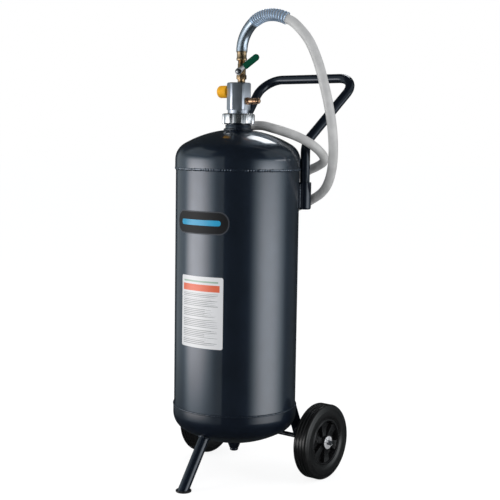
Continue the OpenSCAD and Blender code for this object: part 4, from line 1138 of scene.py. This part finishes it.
class POT_OT_stage(bpy.types.Operator):
    """Sets the floor, the world, the lamps and the tent that shapes the reflections"""

    bl_idname = "pot.stage"
    bl_label = "Stage"

    def execute(self, context):
        self.floor()
        self.world(context.scene)
        for lamp in LAMPS:
            self.lamp(*lamp)
        self.tent()
        context.scene.view_settings.view_transform = "Standard"
        return {"FINISHED"}

    def lamp(self, name, bearing, distance, height, size, power):
        light = bpy.data.lights.new(name, "AREA")
        light.shape = "RECTANGLE"
        light.size, light.size_y = size
        light.energy = power
        lamp = bpy.data.objects.new(name, light)
        bpy.context.scene.collection.objects.link(lamp)
        a = radians(bearing)
        at = (TOWARD_CAMERA * cos(a) + CAMERA_RIGHT * sin(a)) * distance
        lamp.location = Vector((at.x, at.y + TANK_Y, height))
        aim = Vector((0, TANK_Y, LAMPS_AIM_Z))
        lamp.rotation_mode = "QUATERNION"
        lamp.rotation_quaternion = (aim - lamp.location).to_track_quat("-Z", "Y")
        lamp.visible_camera = False
        lamp.visible_glossy = False

    def floor(self):
        """White paper that keeps the shadow and looks lit from below to the camera."""
        fresh_start()
        bpy.ops.mesh.primitive_circle_add(
            vertices=96, radius=FLOOR_R, fill_type="NGON", location=(0, 0, 0)
        )
        floor = bpy.context.object
        floor.name = "floor"
        f = Finish("floor_paper", kind="ShaderNodeMixShader")
        paper = f.add("ShaderNodeBsdfDiffuse", values={"Color": (0.86, 0.86, 0.86, 1)})
        white = f.add("ShaderNodeEmission", values={"Strength": FLOOR_LIGHT})
        f.feed(f.shader, [self.seen_by_eye(f) * FLOOR_LIGHT_SHARE, paper, white])
        floor.data.materials.append(f.material)
        floor.visible_glossy = False

    def world(self, scene):
        """A soft sky for the light, and plain white for the eye."""
        f = Finish("studio", kind="ShaderNodeMixShader", world=True)
        background = "ShaderNodeBackground"
        soft = f.add(background, values={"Color": SKY_COLOUR, "Strength": SKY_LIGHT})
        white = f.add(background, values={"Color": (1, 1, 1, 1), "Strength": 1.0})
        f.feed(f.shader, [self.seen_by_eye(f), soft, white])
        scene.world = f.material

    def seen_by_eye(self, f):
        """1 for camera, glossy and transmission rays."""
        seen = f.add("ShaderNodeLightPath", output="Is Camera Ray")
        for kind in ("Is Glossy Ray", "Is Transmission Ray"):
            seen = seen.maths("MAXIMUM", seen, f.add("ShaderNodeLightPath", output=kind))
        return seen

    def tent(self):
        """A dark tent with soft windows of light, which only reflections see."""
        fresh_start()
        bpy.ops.mesh.primitive_cylinder_add(
            vertices=96, radius=TENT_R, depth=TENT_TOP - TENT_LOW, end_fill_type="NGON",
            location=(0, TANK_Y, (TENT_TOP + TENT_LOW) / 2),
        )
        tent = bpy.context.object
        tent.name = "light_tent"
        f = Finish("light_tent", kind="ShaderNodeEmission")
        f.material.cycles.emission_sampling = "NONE"
        x, y, z = f.parts(f.add("ShaderNodeNewGeometry"))
        y = y - TANK_Y
        ahead = x * TOWARD_CAMERA.x + y * TOWARD_CAMERA.y
        across = x * CAMERA_RIGHT.x + y * CAMERA_RIGHT.y
        bearing = across.angle_to(ahead)
        light = TENT_GLOOM
        for (a, b, c, d), (low, full, fades, top), level in TENT_WINDOWS:
            turn = bearing.ramp(a, b) * bearing.ramp(c, d, 1.0, 0.0)
            light = turn * z.ramp(low, full) * z.ramp(fades, top, 1.0, 0.0) * level + light
        lit = f.mix(bearing.ramp(*TINT_BEARINGS), TINT_LEFT, TINT_RIGHT)
        f.paint(Strength=light, Color=f.mix(light.ramp(*TINT_LEVELS), TINT_DIM, lit))
        tent.data.materials.append(f.material)
        for kind in ("camera", "diffuse", "shadow", "transmission", "volume_scatter"):
            setattr(tent, "visible_" + kind, False)


class POT_PT_panel(bpy.types.Panel):
    """Lists the pot's colours, sizes and makers"""

    bl_idname = "POT_PT_panel"
    bl_label = "Blasting pot"
    bl_space_type = "VIEW_3D"
    bl_region_type = "UI"
    bl_category = "Blasting pot"

    def draw(self, context):
        for group in (context.scene.pot_colours, context.scene.pot_sizes):
            for name in group.__annotations__:
                self.layout.prop(group, name)
        for maker in MAKERS:
            self.layout.operator(maker.bl_idname)


MAKERS = (
    POT_OT_camera, POT_OT_hose, POT_OT_tank, POT_OT_neck, POT_OT_valve, POT_OT_handle,
    POT_OT_undercarriage, POT_OT_wheels, POT_OT_labels, POT_OT_stage,
)
CLASSES = (PotColours, PotSizes, *MAKERS, POT_PT_panel)


def register():
    for cls in CLASSES:
        bpy.utils.register_class(cls)
    bpy.types.Scene.pot_colours = PointerProperty(type=PotColours)
    bpy.types.Scene.pot_sizes = PointerProperty(type=PotSizes)


def unregister():
    del bpy.types.Scene.pot_sizes
    del bpy.types.Scene.pot_colours
    for cls in reversed(CLASSES):
        bpy.utils.unregister_class(cls)


def main():
    register()
    for maker in MAKERS:
        group, name = maker.bl_idname.split(".")
        getattr(getattr(bpy.ops, group), name)()


if __name__ == "__main__":
    main()
